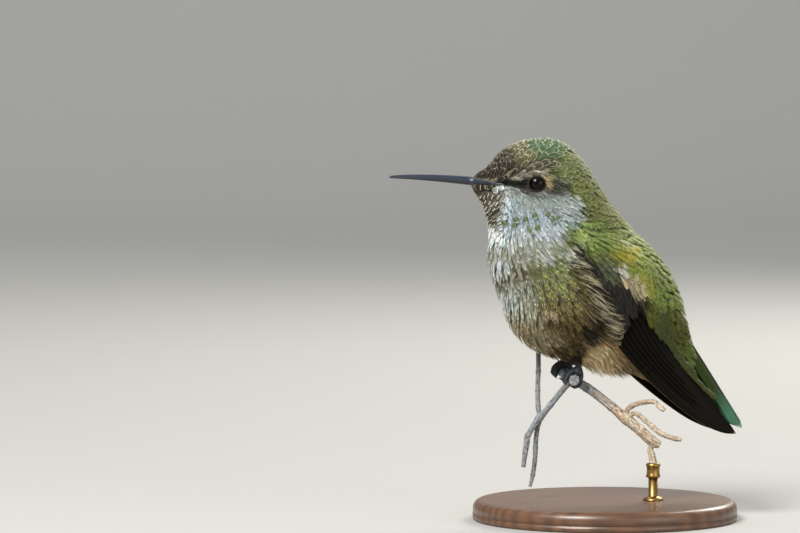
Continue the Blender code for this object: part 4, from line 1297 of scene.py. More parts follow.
def blade_piece(name, material, blades, tints, edges):
    """Several blades as one piece, with a strip of the bake map for each."""
    points, faces = joined([(b[0], b[1], b[2]) for b in blades])
    vanes = [b[3] for b in blades]
    count = len(blades)
    strips = []
    for k, vane in enumerate(vanes):
        across = (k + 0.5) / count + (vane[:, 0] - 0.5) * (STRIP_SHARE / count)
        strips.append(np.stack([across, 0.01 + 0.98 * vane[:, 1]], -1))
    layers = {"disc": np.concatenate([np.tile(t, (len(v), 1)) for t, v in zip(tints, vanes)]),
              "fringe": np.concatenate([np.tile(e, (len(v), 1)) for e, v in zip(edges, vanes)])}
    maps = {"vane": np.concatenate(vanes), "OFBake": np.concatenate(strips)}
    return make_piece(name, points, faces, material, layers, maps)


PRIMARIES, SECONDARIES = 10, 6


def build_wing(side_name, density):
    """A folded wing: its flight feathers, its arm and the coverts over both."""
    side = SIDES[side_name]
    chance = np.random.default_rng(41 if side < 0 else 42)
    build_flight_feathers(side_name, side, chance)
    build_wing_arm(side_name, side)
    build_wing_coverts(side_name, side, density, chance)


def build_flight_feathers(side_name, side, chance):
    """The primaries and the secondaries, stacked as blades that fan out a little."""
    blades, tints, edges = [], [], []
    for k in range(PRIMARIES):
        f = k / (PRIMARIES - 1)
        end = mix(8.93, 4.9, f**1.15) if k else 8.8
        lead_root, trail_root = mix(-1.0, 0.3, f), mix(-0.35, 0.98, f**0.7)
        lead_tip, trail_tip = mix(-1.0, 0.62, f**0.8), mix(0.3, 1.0, min(f * 2.5, 1))
        lead = lambda s, a=lead_root, b=lead_tip: mix(a, b, s**1.3)
        trail = lambda s, a=trail_root, b=trail_tip: mix(a, b, np.sin(np.pi / 2 * s))
        layer = wing_surface(side, mix(-0.75, 0.2, f))
        tip = 0.2 if k > 1 else 0.14
        blades.append(blade(layer, lead, trail, 1.7 + 0.25 * f, end, 0.0, tip, turned=-side))
        tone = chance.uniform(0.8, 1.2)
        tints.append([*(paint(9, 7, 3) * tone), 0.0])
        outermost = k in (0, PRIMARIES - 1)
        edges.append([*(paint(150, 124, 88) if outermost else paint(30, 24, 16)), -1.0 if k == 0 else 1.0])
    for k in range(SECONDARIES):
        f = k / (SECONDARIES - 1)
        lead = lambda s, a=mix(0.05, 0.5, f): mix(a, a + 0.25, s)
        trail = lambda s: mix(0.9, 1.0, s)
        layer = wing_surface(side, 0.22 + 0.03 * k)
        blades.append(blade(layer, lead, trail, 1.5, mix(4.3, 3.2, f), 0.0, 0.3, rows=30, turned=-side))
        tints.append([*(paint(13, 10, 5) * chance.uniform(0.85, 1.15)), 0.0])
        edges.append([*paint(48, 40, 28), 1.0])
    material = blade_finish(side_name + "_flight_feathers", 90, 0.62)
    piece = blade_piece("wing_" + side_name + "_flight", material, blades, tints, edges)
    finish_piece(piece, "flight_feathers", "wing_" + side_name + "_primaries")


def build_wing_arm(side_name, side):
    """The closed form under the coverts."""
    rows, columns = 40, 22
    time, across = np.meshgrid(np.linspace(0.3, 2.9, rows), np.linspace(-1, 1, columns) * 0.93, indexing="ij")
    outer, inner = [wing_surface(side, layer)(time.ravel(), across.ravel()).reshape(rows, columns, 3)
                    for layer in (0.3, -0.9)]
    points, quads, ends = closed_rings(np.concatenate([outer, inner[:, ::-1]], 1), side > 0)
    # The arm takes the coverts' colours at 0.3 of their strength: painted shade where it shows between them.
    tint = undercoat(points, WING_ZONES, 0.3)
    arm = make_piece("wing_" + side_name + "_arm", points, [quads, ends], skin_finish(), {"tint": tint})
    finish_piece(arm, "covert_feathers")


# How far back along the wing its coverts reach, from its front edge across to its hind edge.
COVERT_ACROSS = [-1, 0, 0.19, 0.45, 0.66, 0.77, 0.85, 1.0]
COVERT_REACH = [3.3, 2.7, 2.8, 3.6, 4.5, 5.3, 6.0, 6.8]


def build_wing_coverts(side_name, side, density, chance):
    """The small feathers in rows over the wing's arm and the roots of its flight feathers."""
    face = wing_surface(side, 1.0)

    def spacing(points, u, v):
        values = plumage(points, WING_ZONES)[0]
        along, across = values[:, LENGTH] * 0.34 / density, values[:, HALF_WIDTH] * 1.3 / density
        return np.where(u > np.interp(v, COVERT_ACROSS, COVERT_REACH), -1, along), across

    u, v, points = place_roots(face, (-0.35, 6.9), (-0.97, 0.99), 12000, spacing, 50, -side)
    count = len(u)
    sizes = plumage(points, WING_ZONES)[0]
    half_width = sizes[:, HALF_WIDTH] * chance.uniform(0.9, 1.1, count)
    length = sizes[:, LENGTH] * chance.uniform(0.9, 1.1, count)
    heading = chance.normal(0, 0.06, count) + 0.25 * smooth_step(0.0, -0.8, v) * smooth_step(2.0, 0.5, u)
    walk = march(face, u, v, heading, length, -side)
    values, share = plumage(walk[0][SHOWN_STEP] + chance.normal(0, 0.3, (count, 3)), WING_ZONES)
    step = MARCH[:, None]
    sunk = mix(0.42, 0.14, smooth_step(2.8, 3.8, u))[None]
    stand = (sizes[:, STAND] * chance.uniform(0.3, 1.4, count))[None]
    heights = -sunk * (1 - step) ** 1.2 + stand * step**2 + 0.03
    colours = feather_values(values, share, chance)
    material = feather_finish(side_name + "_covert_feathers", 0.55, 18, 0.68, 0.55)
    piece = feather_piece("wing_" + side_name + "_coat", material, sizes[:, SOFT], (v, u), walk, heights,
                          half_width, chance.normal(0, 0.08, count), 0.1 / half_width, colours)
    finish_piece(piece, "covert_feathers", "wing_" + side_name + "_coverts")


def build_tail():
    """Ten tail feathers under one another like roof tiles, the middle pair on top."""
    blades, tints, edges = [], [], []
    for k in range(5, 0, -1):
        for side in (-1.0, 1.0):
            f = (k - 1) / 4
            inner, outer = mix(0.34, 0.1, f), mix(0.93, 1.0, f)
            low, high = (-outer, inner) if side < 0 else (-inner, outer)
            lead = lambda s, a=low: np.full_like(s, a)
            trail = lambda s, a=high: np.full_like(s, a)
            height = mix(0.38, -0.4, f) + (0.05 if side > 0 else -0.05)
            end = mix(1.0, 0.93, f)
            blades.append(blade(tail_surface, lead, trail, 0.02, end, height, 0.09, rows=44, thick=0.15))
            green, dark = paint(48, 60, 22), paint(16, 18, 12)
            tints.append([*mix(green, dark, min(f * 1.6, 1)), mix(0.2, 0.08, f)])
            edges.append([*mix(paint(176, 184, 158), paint(206, 200, 180), min(f * 2, 1)), side * (k == 5)])
    # The tail's last colour is its painted teal highlight.
    material = blade_finish("tail_vanes", 80, 0.4, paint(78, 128, 100))
    piece = blade_piece("tail_feathers", material, blades, tints, edges)
    finish_piece(piece, "tail_feathers", "tail")


# ================================================================ bill, eyes and feet
def horn_finish(name, dark, pale):
    finish = Finish(name, Coat_Roughness=0.25, Specular_IOR_Level=0.5)
    streak = finish.noise(260.0, 4.0, 0.6, None, (0.12, 1.0, 1.0))
    speck = finish.noise(1500.0, 3.0)
    split = finish.split(finish.place())
    # Towards the gape the colour turns near black: the painted reflection of the sky gives way to painted
    # shade there.
    gape = split.out("X").step(-0.027, BILL_GAPE_X / 1000)
    colour = finish.blend(gape * 0.7, finish.blend(streak, dark, pale), (0.004, 0.0035, 0.003))
    return finish.wear(colour, 0.3 + streak * 0.16, Coat_Weight=0.3 - speck * 0.15,
                       bump=(streak + speck * 0.3, 0.00004, 0.5))


def bill_line(share):
    x = mix(BILL_TIP_X, BILL_GAPE_X, share)
    z = mix(BILL_TIP_Z, BILL_GAPE_Z, share) + BILL_ARCH * np.sin(np.pi * share)
    return x, z - BILL_DROOP * np.clip(1 - share, 0, 1) ** 8


def head_width(x, z):
    """Half the head's width at places along the gape."""
    time, angle = np.meshgrid(np.linspace(0, 4, 90), np.linspace(0.3, 2.9, 140), indexing="ij")
    face = body_surface(time.ravel(), angle.ravel())
    far = (face[None, :, 0] - x[:, None]) ** 2 + (face[None, :, 2] - z[:, None]) ** 2
    return face[far.argmin(1), 1]


def mandible(upper):
    """One half of the bill, from its tip back to the gape, where its edge shows beside the head."""
    share = np.concatenate([np.linspace(0, 0.08, 14, endpoint=False), np.linspace(0.08, 1.0, 76)])
    x, z = bill_line(share)
    blunt = np.sqrt(np.clip(share / 0.012, 0.02, 1))
    beside = smooth_step(BILL_BARE - 0.03, BILL_BARE + 0.1, share)
    depth = mix(mix(0.34, 2.15, share**0.62) / 2 * blunt, gape_half(share) + 0.06, beside)
    wide = smooth_step(BILL_BARE - 0.02, BILL_BARE + 0.05, share)
    width = mix(mix(0.34, 2.7, share**1.05) / 2 * blunt, np.maximum(head_width(x, z) + 0.12, 1.2), wide)
    parting = z - 0.35 * depth
    angles = np.linspace(0, np.pi, 25)
    sign = 1.0 if upper else -1.0
    rings = []
    for k in range(len(share)):
        nostril = math.exp(-((share[k] - 0.7) / 0.03) ** 2) if upper else 0.0
        dent = 0.14 * nostril * np.exp(-((np.abs(np.cos(angles)) - 0.8) / 0.15) ** 2)
        y = width[k] * np.cos(angles) * (1 - dent)
        tall = sign * (z[k] - parting[k]) + depth[k] - BILL_GAP / 2
        height = tall * np.sin(angles) ** mix(0.85, 0.2, beside[k]) + BILL_GAP / 2
        inner_y = np.array([-0.55, 0.0, 0.55]) * width[k]
        inner_z = np.array([0.12, 0.16, 0.12]) * min(depth[k], 0.5) + BILL_GAP / 2
        ring_y = np.concatenate([y, inner_y])
        ring_z = np.concatenate([height, inner_z]) * sign + parting[k]
        rings.append(np.stack([np.full(len(ring_y), x[k]), ring_y, ring_z], -1))
    return closed_rings(rings, upper)


def build_bill(colour):
    """Both halves of the bill: the upper one's blue is a painted reflection of the sky, and the lower one is
    painted darker as painted shade.
    """
    for name, upper in (("bill_upper", True), ("bill_lower", False)):
        # The lower half takes 0.4 of the colour as painted shade; the colour itself holds a painted blue
        # reflection of the sky.
        base = np.array(colour) * (1.0 if upper else 0.4)
        points, quads, ends = mandible(upper)
        material = horn_finish(name + "_horn", base * 0.4, base * 1.5)
        piece = make_piece("horn_" + name, points, [quads, ends], material)
        finish_piece(piece, "bill_horn", name)


def build_eyes(colour):
    """Each eye is a ball with a raised front and a dark iris."""
    finish = Finish("eye_gloss", Coat_Weight=0.06, Coat_Roughness=0.03, Specular_IOR_Level=0.14)
    far = finish.attribute("tint")
    fleck = finish.noise(2600.0, 3.0)
    colour = finish.blend(far.out("Alpha"), paint(4, 4, 5), colour)
    colour = finish.blend(fleck * 0.3, colour, (0.002, 0.0015, 0.001))
    material = finish.wear(colour, 0.08 + fleck * 0.04)
    for name, side in SIDES.items():
        lean = np.linspace(0.01, np.pi - 0.01, 40)[:, None]
        angles = np.linspace(0, 2 * np.pi, 48, endpoint=False)[None]
        radius = EYE_RADIUS * (1 + 0.04 * np.exp(-((lean / 0.5) ** 2)))
        x = EYE_PLACE[0] + radius * np.sin(lean) * np.cos(angles)
        z = EYE_PLACE[2] + radius * np.sin(lean) * np.sin(angles)
        y = side * (EYE_PLACE[1] + np.broadcast_to(radius * np.cos(lean), x.shape))
        points, quads, ends = closed_rings(np.stack([x, y, z], -1), side < 0)
        ring = np.linalg.norm(points[:, [0, 2]] - np.array([EYE_PLACE[0], EYE_PLACE[2]]), axis=1)
        iris = smooth_step(0.8, 1.0, ring) * smooth_step(1.6, 1.3, ring)
        tint = np.stack([iris, iris, iris, iris], -1)
        piece = make_piece("ball_eye_" + name, points, [quads, ends], material, {"tint": tint})
        finish_piece(piece, "eye", "eye_" + name)


def grip_middle(y):
    """The place on the grip's middle line at a distance across it."""
    line = np.array(GRIP)
    return np.array([np.interp(y, line[:, 1], line[:, 0]), y, np.interp(y, line[:, 1], line[:, 2])])


def leg_line(side):
    """A leg's ankle, and the run from there up to the belly."""
    rise = np.array([LEG_RISE[0], side * LEG_RISE[1], LEG_RISE[2]])
    return grip_middle(side * LEG_Y) + np.array(ANKLE), rise


def toe_path(side, splay, line):
    """A toe's middle line round the twig, from the palm to the claw's tip; it lies close on the bark."""
    path = []
    for k, (angle, far) in enumerate(line):
        share = k / (len(line) - 1)
        y = side * LEG_Y + side * splay * TOE_SPLAY * math.sin(math.pi / 2 * min(share * 1.6, 1))
        turn = math.radians(angle)
        pressed = mix(1.0, 0.5, min(share * 3, 1))
        close = GRIP_RADII[1] + (far - GRIP_RADII[1]) * pressed * mix(1.0, 0.62, smooth_step(0.7, 1.0, share))
        path.append(grip_middle(y) + np.array([math.cos(turn) * close, 0, math.sin(turn) * close]))
    return np.array(path)


def scaled_toe(path, size, from_share, to_share, claw):
    """A stretch of a toe: scutes overlap along its back, and a claw runs out to its tip."""
    steps = 26 if claw else 110
    line = spline(path, np.linspace(from_share, to_share, steps) * (len(path) - 1))
    share = np.linspace(0, 1, steps)
    if claw:
        return line, mix(TOE_RADIUS * 0.74 * size, CLAW_TIP_RADIUS * 0.6, share**0.8)
    scute = (share * 11) % 1.0
    swell = 0.94 + 0.16 * scute ** 0.7 * (1 - smooth_step(0.8, 1.0, scute))
    return line, TOE_RADIUS * size * mix(1.02, 0.86, share) * swell


def scute_finish():
    finish = Finish("foot_scutes", Specular_IOR_Level=0.4)
    grain = finish.noise(900.0, 4.0)
    fine = finish.node("ShaderNodeTexVoronoi", None, {"Vector": finish.place(), "Scale": 2600.0})
    colour = finish.blend(grain, paint(9, 10, 13), paint(56, 62, 72))
    colour = finish.blend(fine.out("Distance").step(0.3, 0.6) * 0.5, colour, paint(10, 10, 12))
    return finish.wear(colour, 0.45 + grain * 0.2, (fine.out("Distance") * 0.6 + grain, 0.00006, 0.7))


def claw_finish():
    finish = Finish("claw_horn", Specular_IOR_Level=0.5)
    streak = finish.noise(700.0, 3.0)
    colour = finish.blend(streak, paint(6, 6, 7), paint(24, 23, 24))
    return finish.wear(colour, 0.28 + streak * 0.12, (streak, 0.00003, 0.4))


def build_feet():
    """Each leg has a scaled shank and four scaled toes round the perch, and its four claws apart."""
    scutes, horn = scute_finish(), claw_finish()
    for name, side in SIDES.items():
        ankle, rise = leg_line(side)
        flesh, claws = [], []
        share = np.linspace(-0.02, 1.0, 46)[:, None]
        shank = ankle + rise * share
        radii = LEG_RADIUS * (1 + 0.05 * np.abs(np.sin(share[:, 0] * math.pi * 8)) ** 0.6)
        radii = radii * mix(1.05, 0.95, share[:, 0])
        flesh.append(tube(shank, radii, 18))
        palm = ankle + np.linspace(0, 1, 8)[:, None] * np.array([-0.5, 0, -1.9]) + np.array([0, 0, 0.25])
        flesh.append(tube(palm, np.array([0.5, 0.7, 0.84, 0.95, 1.0, 0.98, 0.86, 0.5]), 18))
        for splay, line, size in TOES.values():
            path = toe_path(side, splay, line)
            flesh.append(tube(*scaled_toe(path, size, 0.0, CLAW_FROM + CLAW_OVERLAP, False), 16))
            claws.append(tube(*scaled_toe(path, size, CLAW_FROM - CLAW_OVERLAP, 1.0, True), 14))
        points, faces = joined(flesh)
        foot = make_piece("scaled_foot_" + name, points, faces, scutes)
        finish_piece(foot, "foot_scutes", "leg_" + name, "foot_" + name)
        points, faces = joined(claws)
        claw = make_piece("claws_" + name, points, faces, horn)
        finish_piece(claw, "bill_horn")


def build_thighs():
    """Short dark feathers on the sleeve round each shank, from the belly down to the foot; their dark brown
    is partly painted shade under the belly.
    """
    for name, side in SIDES.items():
        foot, rise = leg_line(side)

        def sleeve(time, angle):
            radius = mix(2.1, 0.8, np.clip(time, 0, 1.3))[..., None]
            ring = np.stack([np.cos(angle), np.sin(angle), np.zeros_like(angle)], -1)
            return foot + rise * mix(1.15, 0.28, time)[..., None] + ring * radius

        def spacing(points, u, v):
            return np.full(len(u), 0.62), np.full(len(u), 0.44)

        u, v, _ = place_roots(sleeve, (0.0, 0.75), (-math.pi, math.pi), 2500, spacing, 60)
        count = len(u)
        chance = np.random.default_rng(61)
        walk = march(sleeve, u, v, chance.normal(0, 0.16, count), chance.uniform(1.7, 2.3, count))
        step = MARCH[:, None]
        heights = chance.uniform(0.05, 0.3, count)[None] * step**2 - 0.3 * (1 - step)
        tone = np.exp(chance.normal(0, 0.2, (count, 1)))
        wide = np.full(count, 0.4)
        # Dark brown: partly the thighs' own colour, partly painted shade under the belly.
        colours = {"disc": np.concatenate([paint(30, 21, 9) * tone, np.zeros((count, 1))], 1),
                   "fringe": np.concatenate([paint(78, 62, 34) * tone, np.full((count, 1), 0.4)], 1)}
        material = feather_finish(name + "_thigh_feathers", 0.8, 12, 0.68, 0.5)
        piece = feather_piece("thigh_coat_" + name, material, np.ones(count), (v, u), walk, heights, wide,
                              wide * 0, wide * 0.3, colours)
        finish_piece(piece, "vent_feathers")


# ================================================================ perch and stand
def twig_point(along, height, behind):
    return FORK + ALONG_TWIG * along + ACROSS_TWIG * behind + np.array([0, 0, height])


def bark_finish():
    """Weathered bark: grain and cracks follow each twig, grey on the near arm and cream on the long one."""
    finish = Finish("bark", Specular_IOR_Level=0.2)
    grain = finish.attribute("grain").out("Vector")
    streak = finish.noise(3.2, 5.0, 0.68, grain, (0.34, 1.0, 1.0))
    crack = finish.noise(7.0, 4.0, 0.6, grain, (0.12, 1.0, 1.0))
    patch = finish.noise(260.0, 4.0, 0.6)
    speck = finish.noise(1500.0, 3.0, 0.6)
    place = finish.split(finish.place())
    warm = (place.out("X") * 1000.0 + (patch - 0.5) * 14.0).step(-5.0, 5.0)
    pale = finish.blend(warm, paint(176, 182, 186), paint(232, 220, 200))
    dark = finish.blend(warm, paint(92, 92, 92), paint(166, 142, 112))
    colour = finish.blend((streak - 0.32) * 2.6, dark, pale)
    colour = finish.blend((patch - 0.52) * 4.0, colour,
                          finish.blend(warm, paint(120, 104, 86), paint(160, 124, 92)))
    split = crack.step(0.44, 0.36)
    colour = finish.blend(split * 0.85, colour, paint(44, 34, 26))
    colour = finish.blend(speck.step(0.6, 0.72) * 0.5, colour, paint(70, 56, 44))
    height = streak * 0.8 - split * 1.4 + speck * 0.3
    return finish.wear(colour, 0.8 + speck * 0.12, (height, 0.00016, 0.9))


def twig_lines():
    """Every twig's middle line with its radii."""
    lines = []
    for knots in TWIGS.values():
        time = np.linspace(0, len(knots) - 1, 14 * len(knots))
        path = np.array([twig_point(along, height, behind) for along, height, behind, _ in knots])
        radii = np.array([[radius] for *_, radius in knots])
        lines.append((spline(path, time), spline(radii, time)[:, 0]))
    time = np.linspace(0, len(GRIP) - 1, 60)
    lines.append((spline(np.array(GRIP), time), spline(np.array(GRIP_RADII)[:, None], time)[:, 0]))
    return lines


# The size in metres of the steps that the twigs are joined in.
BARK_STEP = 0.00012


def build_perch(relief):
    """The forked twig: every length runs into the next, and one bark covers them all."""
    lines = twig_lines()
    points, faces = joined([tube(line, thick, 20) for line, thick in lines])
    piece = make_piece("bark_twig", points, faces, bark_finish())
    remesh = piece.modifiers.new("one_bark", "REMESH")
    remesh.mode = "VOXEL"
    remesh.voxel_size = BARK_STEP
    remesh.use_smooth_shade = True
    soften = piece.modifiers.new("soften", "SMOOTH")
    soften.factor = 0.5
    soften.iterations = 5
    made = rough_bark(plain_mesh(piece), lines, relief)
    nodes = ["perch_grip", "perch_arm_long", "perch_arm_short", "perch_twig_rear", "perch_twig_low",
             "perch_shoot_upper", "perch_shoot_lower", "perch_stem"]
    finish_piece(made, "twig", *nodes)
    finish_piece(bark_warts(made), "twig")


def plain_mesh(piece):
    """Turns a piece with modifiers into the plain mesh that they give."""
    bpy.context.view_layer.update()
    evaluated = piece.evaluated_get(bpy.context.evaluated_depsgraph_get())
    mesh = bpy.data.meshes.new_from_object(evaluated)
    old = piece.data
    piece.modifiers.clear()
    piece.data = mesh
    bpy.data.meshes.remove(old)
    return piece


def rough_bark(piece, lines, relief):
    """Moves the bark in and out along each twig's own grain, and keeps that grain for its finish."""
    mesh = piece.data
    count = len(mesh.vertices)
    points, normals = np.zeros(count * 3, np.float32), np.zeros(count * 3, np.float32)
    mesh.vertices.foreach_get("co", points)
    mesh.vertices.foreach_get("normal", normals)
    points, normals = points.reshape(-1, 3) / MM, normals.reshape(-1, 3)
    middle = np.concatenate([line for line, _ in lines])
    radii = np.concatenate([thick for _, thick in lines])
    sides = [tube_sides(line) for line, _ in lines]
    run, side = np.concatenate([s[0] for s in sides]), np.concatenate([s[1] for s in sides])
    steps = [np.linalg.norm(np.diff(line, axis=0, prepend=line[:1]), axis=1) for line, _ in lines]
    along = np.concatenate([np.cumsum(step) + 37.0 * k for k, step in enumerate(steps)])
    near = np.concatenate([(((part[:, None] - middle[None]) ** 2).sum(-1) / radii**2).argmin(1)
                           for part in np.array_split(points, 60)])
    off = points - middle[near]
    turn = np.arctan2((off * np.cross(side, run)[near]).sum(-1), (off * side[near]).sum(-1))
    run_along = along[near] + (off * run[near]).sum(-1)
    ridge = sum(np.cos(n * turn + 1.7 * n + 1.4 * np.sin(run_along * 0.31 + n)) / n**0.6
                for n in (3, 5, 8, 13))
    knot = np.clip(np.sin(run_along * 1.35 + 1.2 * np.sin(run_along * 0.4)) - 0.82, 0, 1) * 5
    ring = np.sin(run_along * 9 + 2 * np.sin(turn + run_along)) * np.sin(run_along * 2.3)
    moved = points + normals * (relief / MM * (0.55 * ridge + knot + 0.35 * ring))[:, None]
    mesh.vertices.foreach_set("co", (moved * MM).astype(np.float32).ravel())
    grain = mesh.color_attributes.new("grain", "FLOAT_COLOR", "POINT")
    values = np.stack([run_along, np.cos(turn), np.sin(turn), np.ones(count)], -1)
    grain.data.foreach_set("color", values.astype(np.float32).ravel())
    mesh.update()
    return piece


# How many warts stand on the bark, and their radius in metres.
WART_COUNT = 320
WART_SIZE = 0.00013


def bark_warts(twig):
    """Small warts and buds scattered over the bark by geometry nodes, then made plain."""
    tree = bpy.data.node_groups.new("bark_warts", "GeometryNodeTree")
    tree.interface.new_socket("Geometry", in_out="INPUT", socket_type="NodeSocketGeometry")
    sockets = {}
    for label, kind in (("Warts per area", "Float"), ("Wart size", "Float"), ("Seed", "Int")):
        socket = tree.interface.new_socket(label, in_out="INPUT", socket_type="NodeSocket" + kind)
        sockets[label] = socket.identifier
    tree.interface.new_socket("Geometry", in_out="OUTPUT", socket_type="NodeSocketGeometry")

    nodes = Nodes(tree)
    given = nodes.node("NodeGroupInput")
    seed = given.out("Seed")
    spread = nodes.node("GeometryNodeDistributePointsOnFaces", None, {
        "Mesh": given.out("Geometry"), "Density": given.out("Warts per area"), "Seed": seed})
    wart = nodes.node("GeometryNodeMeshIcoSphere", None, {
        "Radius": given.out("Wart size"), "Subdivisions": 2})
    scale = nodes.node("FunctionNodeRandomValue", {"data_type": "FLOAT_VECTOR"}, {
        0: (0.4, 0.4, 0.2), 1: (1.1, 1.5, 0.6), "Seed": seed})
    placed = nodes.node("GeometryNodeInstanceOnPoints", None, {
        "Points": spread, "Instance": wart, "Rotation": spread.out("Rotation"), "Scale": scale})
    real = nodes.node("GeometryNodeRealizeInstances", None, {"Geometry": placed})
    worn = nodes.node("GeometryNodeSetMaterial", None, {"Geometry": real, "Material": wart_finish()})
    nodes.node("NodeGroupOutput", None, {"Geometry": worn})
    piece = placed_object("bark_warts", twig.data.copy())
    warts = piece.modifiers.new("warts", "NODES")
    warts.node_group = tree
    area = sum(face.area for face in twig.data.polygons)
    warts[sockets["Warts per area"]] = WART_COUNT / area
    warts[sockets["Wart size"]] = WART_SIZE
    warts[sockets["Seed"]] = 3
    return plain_mesh(piece)


def wart_finish():
    finish = Finish("bark_wart", Specular_IOR_Level=0.2)
    speck = finish.noise(1800.0, 3.0)
    colour = finish.blend(speck, paint(70, 56, 42), paint(168, 146, 120))
    return finish.wear(colour, 0.8 + speck * 0.1, (speck, 0.00005, 0.6))


def turned_form(profile, sides, centre):
    """A form turned on a lathe: profile is a row of (radius, height), from its underside up."""
    profile = np.array(profile, float)
    angles = np.linspace(0, 2 * np.pi, sides, endpoint=False)
    ring = np.stack([np.cos(angles), np.sin(angles)], -1)
    rows = [np.concatenate([ring * r + np.array(centre[:2]), np.full((sides, 1), h)], 1) for r, h in profile]
    return closed_rings(rows)


def wood_finish(tone):
    finish = Finish("walnut", Coat_Roughness=0.22, Specular_IOR_Level=0.45)
    grain = finish.noise(26.0, 5.0, 0.6, None, (1.0, 14.0, 4.0))
    wave = finish.node("ShaderNodeTexWave", {"wave_type": "BANDS", "bands_direction": "Y"}, {
        "Vector": finish.place(), "Scale": 120.0, "Distortion": 5.0, "Detail": 3.0, "Detail Scale": 1.2})
    pores = finish.noise(420.0, 2.0, 0.5, None, (0.08, 1.0, 1.0))
    tone = np.array(tone)
    colour = finish.blend(grain * 0.6 + wave * 0.4, tone * 0.55, tone * 1.9)
    colour = finish.blend(pores.step(0.62, 0.74) * 0.6, colour, tone * 0.2)
    return finish.wear(colour, 0.34 + grain * 0.14, Coat_Weight=0.3 + grain * 0.1,
                       bump=(pores * -1.0 + wave * 0.3, 0.00006, 0.4))


def brass_finish(tone):
    finish = Finish("aged_brass", Metallic=1.0)
    haze = finish.noise(180.0, 4.0, 0.6)
    lines = finish.noise(900.0, 2.0, 0.5, None, (1.0, 1.0, 0.05))
    colour = finish.blend(haze, np.array(tone) * 1.3, np.array(tone) * 0.7)
    return finish.wear(colour, 0.26 + haze * 0.16, (lines, 0.00002, 0.4))


def build_stand(wood, metal):
    """The turned wooden base, and the brass rod and collar that hold the perch."""
    foot = twig_point(STEM_FOOT, 0.0, 0.0)
    profile = [(BASE_RADIUS - 0.5, 0.0), (BASE_RADIUS - 0.12, 0.12), (BASE_RADIUS, 0.5), (BASE_RADIUS, 1.1)]
    profile += [(BASE_RADIUS - 0.22, 1.22), (BASE_RADIUS - 0.25, 1.4), (BASE_RADIUS - 0.05, 1.55)]
    for k in range(13):
        turn = math.radians(90 * k / 12)
        height = 2.2 + (BASE_HEIGHT - 2.2) * math.sin(turn)
        profile.append((BASE_RADIUS - 1.6 + 1.55 * math.cos(turn), height))
    profile += [(BASE_RADIUS - 6, BASE_HEIGHT), (BASE_RADIUS / 2, BASE_HEIGHT), (4.0, BASE_HEIGHT)]
    points, quads, ends = turned_form(profile, 144, (0.0, 0.0))
    base = make_piece("turned_base", points, [quads, ends], wood_finish(wood))
    finish_piece(base, "base_wood", "stand_base")
    low = COLLAR_TOP - COLLAR_HEIGHT
    flange = [(2.1, 0.0), (2.1, 0.25), (1.7, 0.6), (1.2, 0.75), (ROD_RADIUS, 0.95)]
    rod = [(radius, BASE_HEIGHT + height) for radius, height in flange] + [(ROD_RADIUS, low + 0.1)]
    parts = [turned_form(rod, 48, foot)]
    collar = [(0.35, 0.0), (0.05, 0.2), (0.0, 0.45), (0.18, 0.7), (0.18, 2.2), (0.0, 2.45), (0.05, 2.8),
              (0.3, COLLAR_HEIGHT)]
    parts.append(turned_form([(COLLAR_RADIUS - inset, low + height) for inset, height in collar], 48, foot))
    points, faces = joined(parts)
    piece = make_piece("brass_rod", points, faces, brass_finish(metal))
    finish_piece(piece, "rod_brass", "stand_rod", "stand_collar")


# ================================================================ stage
# The camera's turn round the bird and its rise in degrees, its lens and sensor in millimetres, and
# in metres its distance and the place it looks at: how far to its right and how high.
CAMERA_TURN, CAMERA_RISE = -10.0, 3.0
CAMERA_LENS, CAMERA_SENSOR = 199.0, 36.0
CAMERA_DISTANCE = 0.9
AIM_RIGHT, AIM_HEIGHT = -0.0418, 0.0516
# Each light's place, the place it shines at, its size, its power and its colour.
BIRD_MIDDLE = (-0.005, 0.0, 0.05)
LAMPS = {
    "wall_light": ((0.0, 1.1, 1.7), (0.0, 1.9, 0.6), 0.8, 12.0, (1.0, 1.0, 1.0)),
    "key_light": ((-0.42, -0.45, 0.62), BIRD_MIDDLE, 0.36, 10.0, (1.0, 0.985, 0.95)),
    "fill_light": ((0.5, -0.7, 0.25), BIRD_MIDDLE, 0.6, 2.2, (0.94, 0.97, 1.0)),
    "rim_light": ((0.42, 0.5, 0.5), BIRD_MIDDLE, 0.4, 5.0, (1.0, 0.97, 0.9)),
}


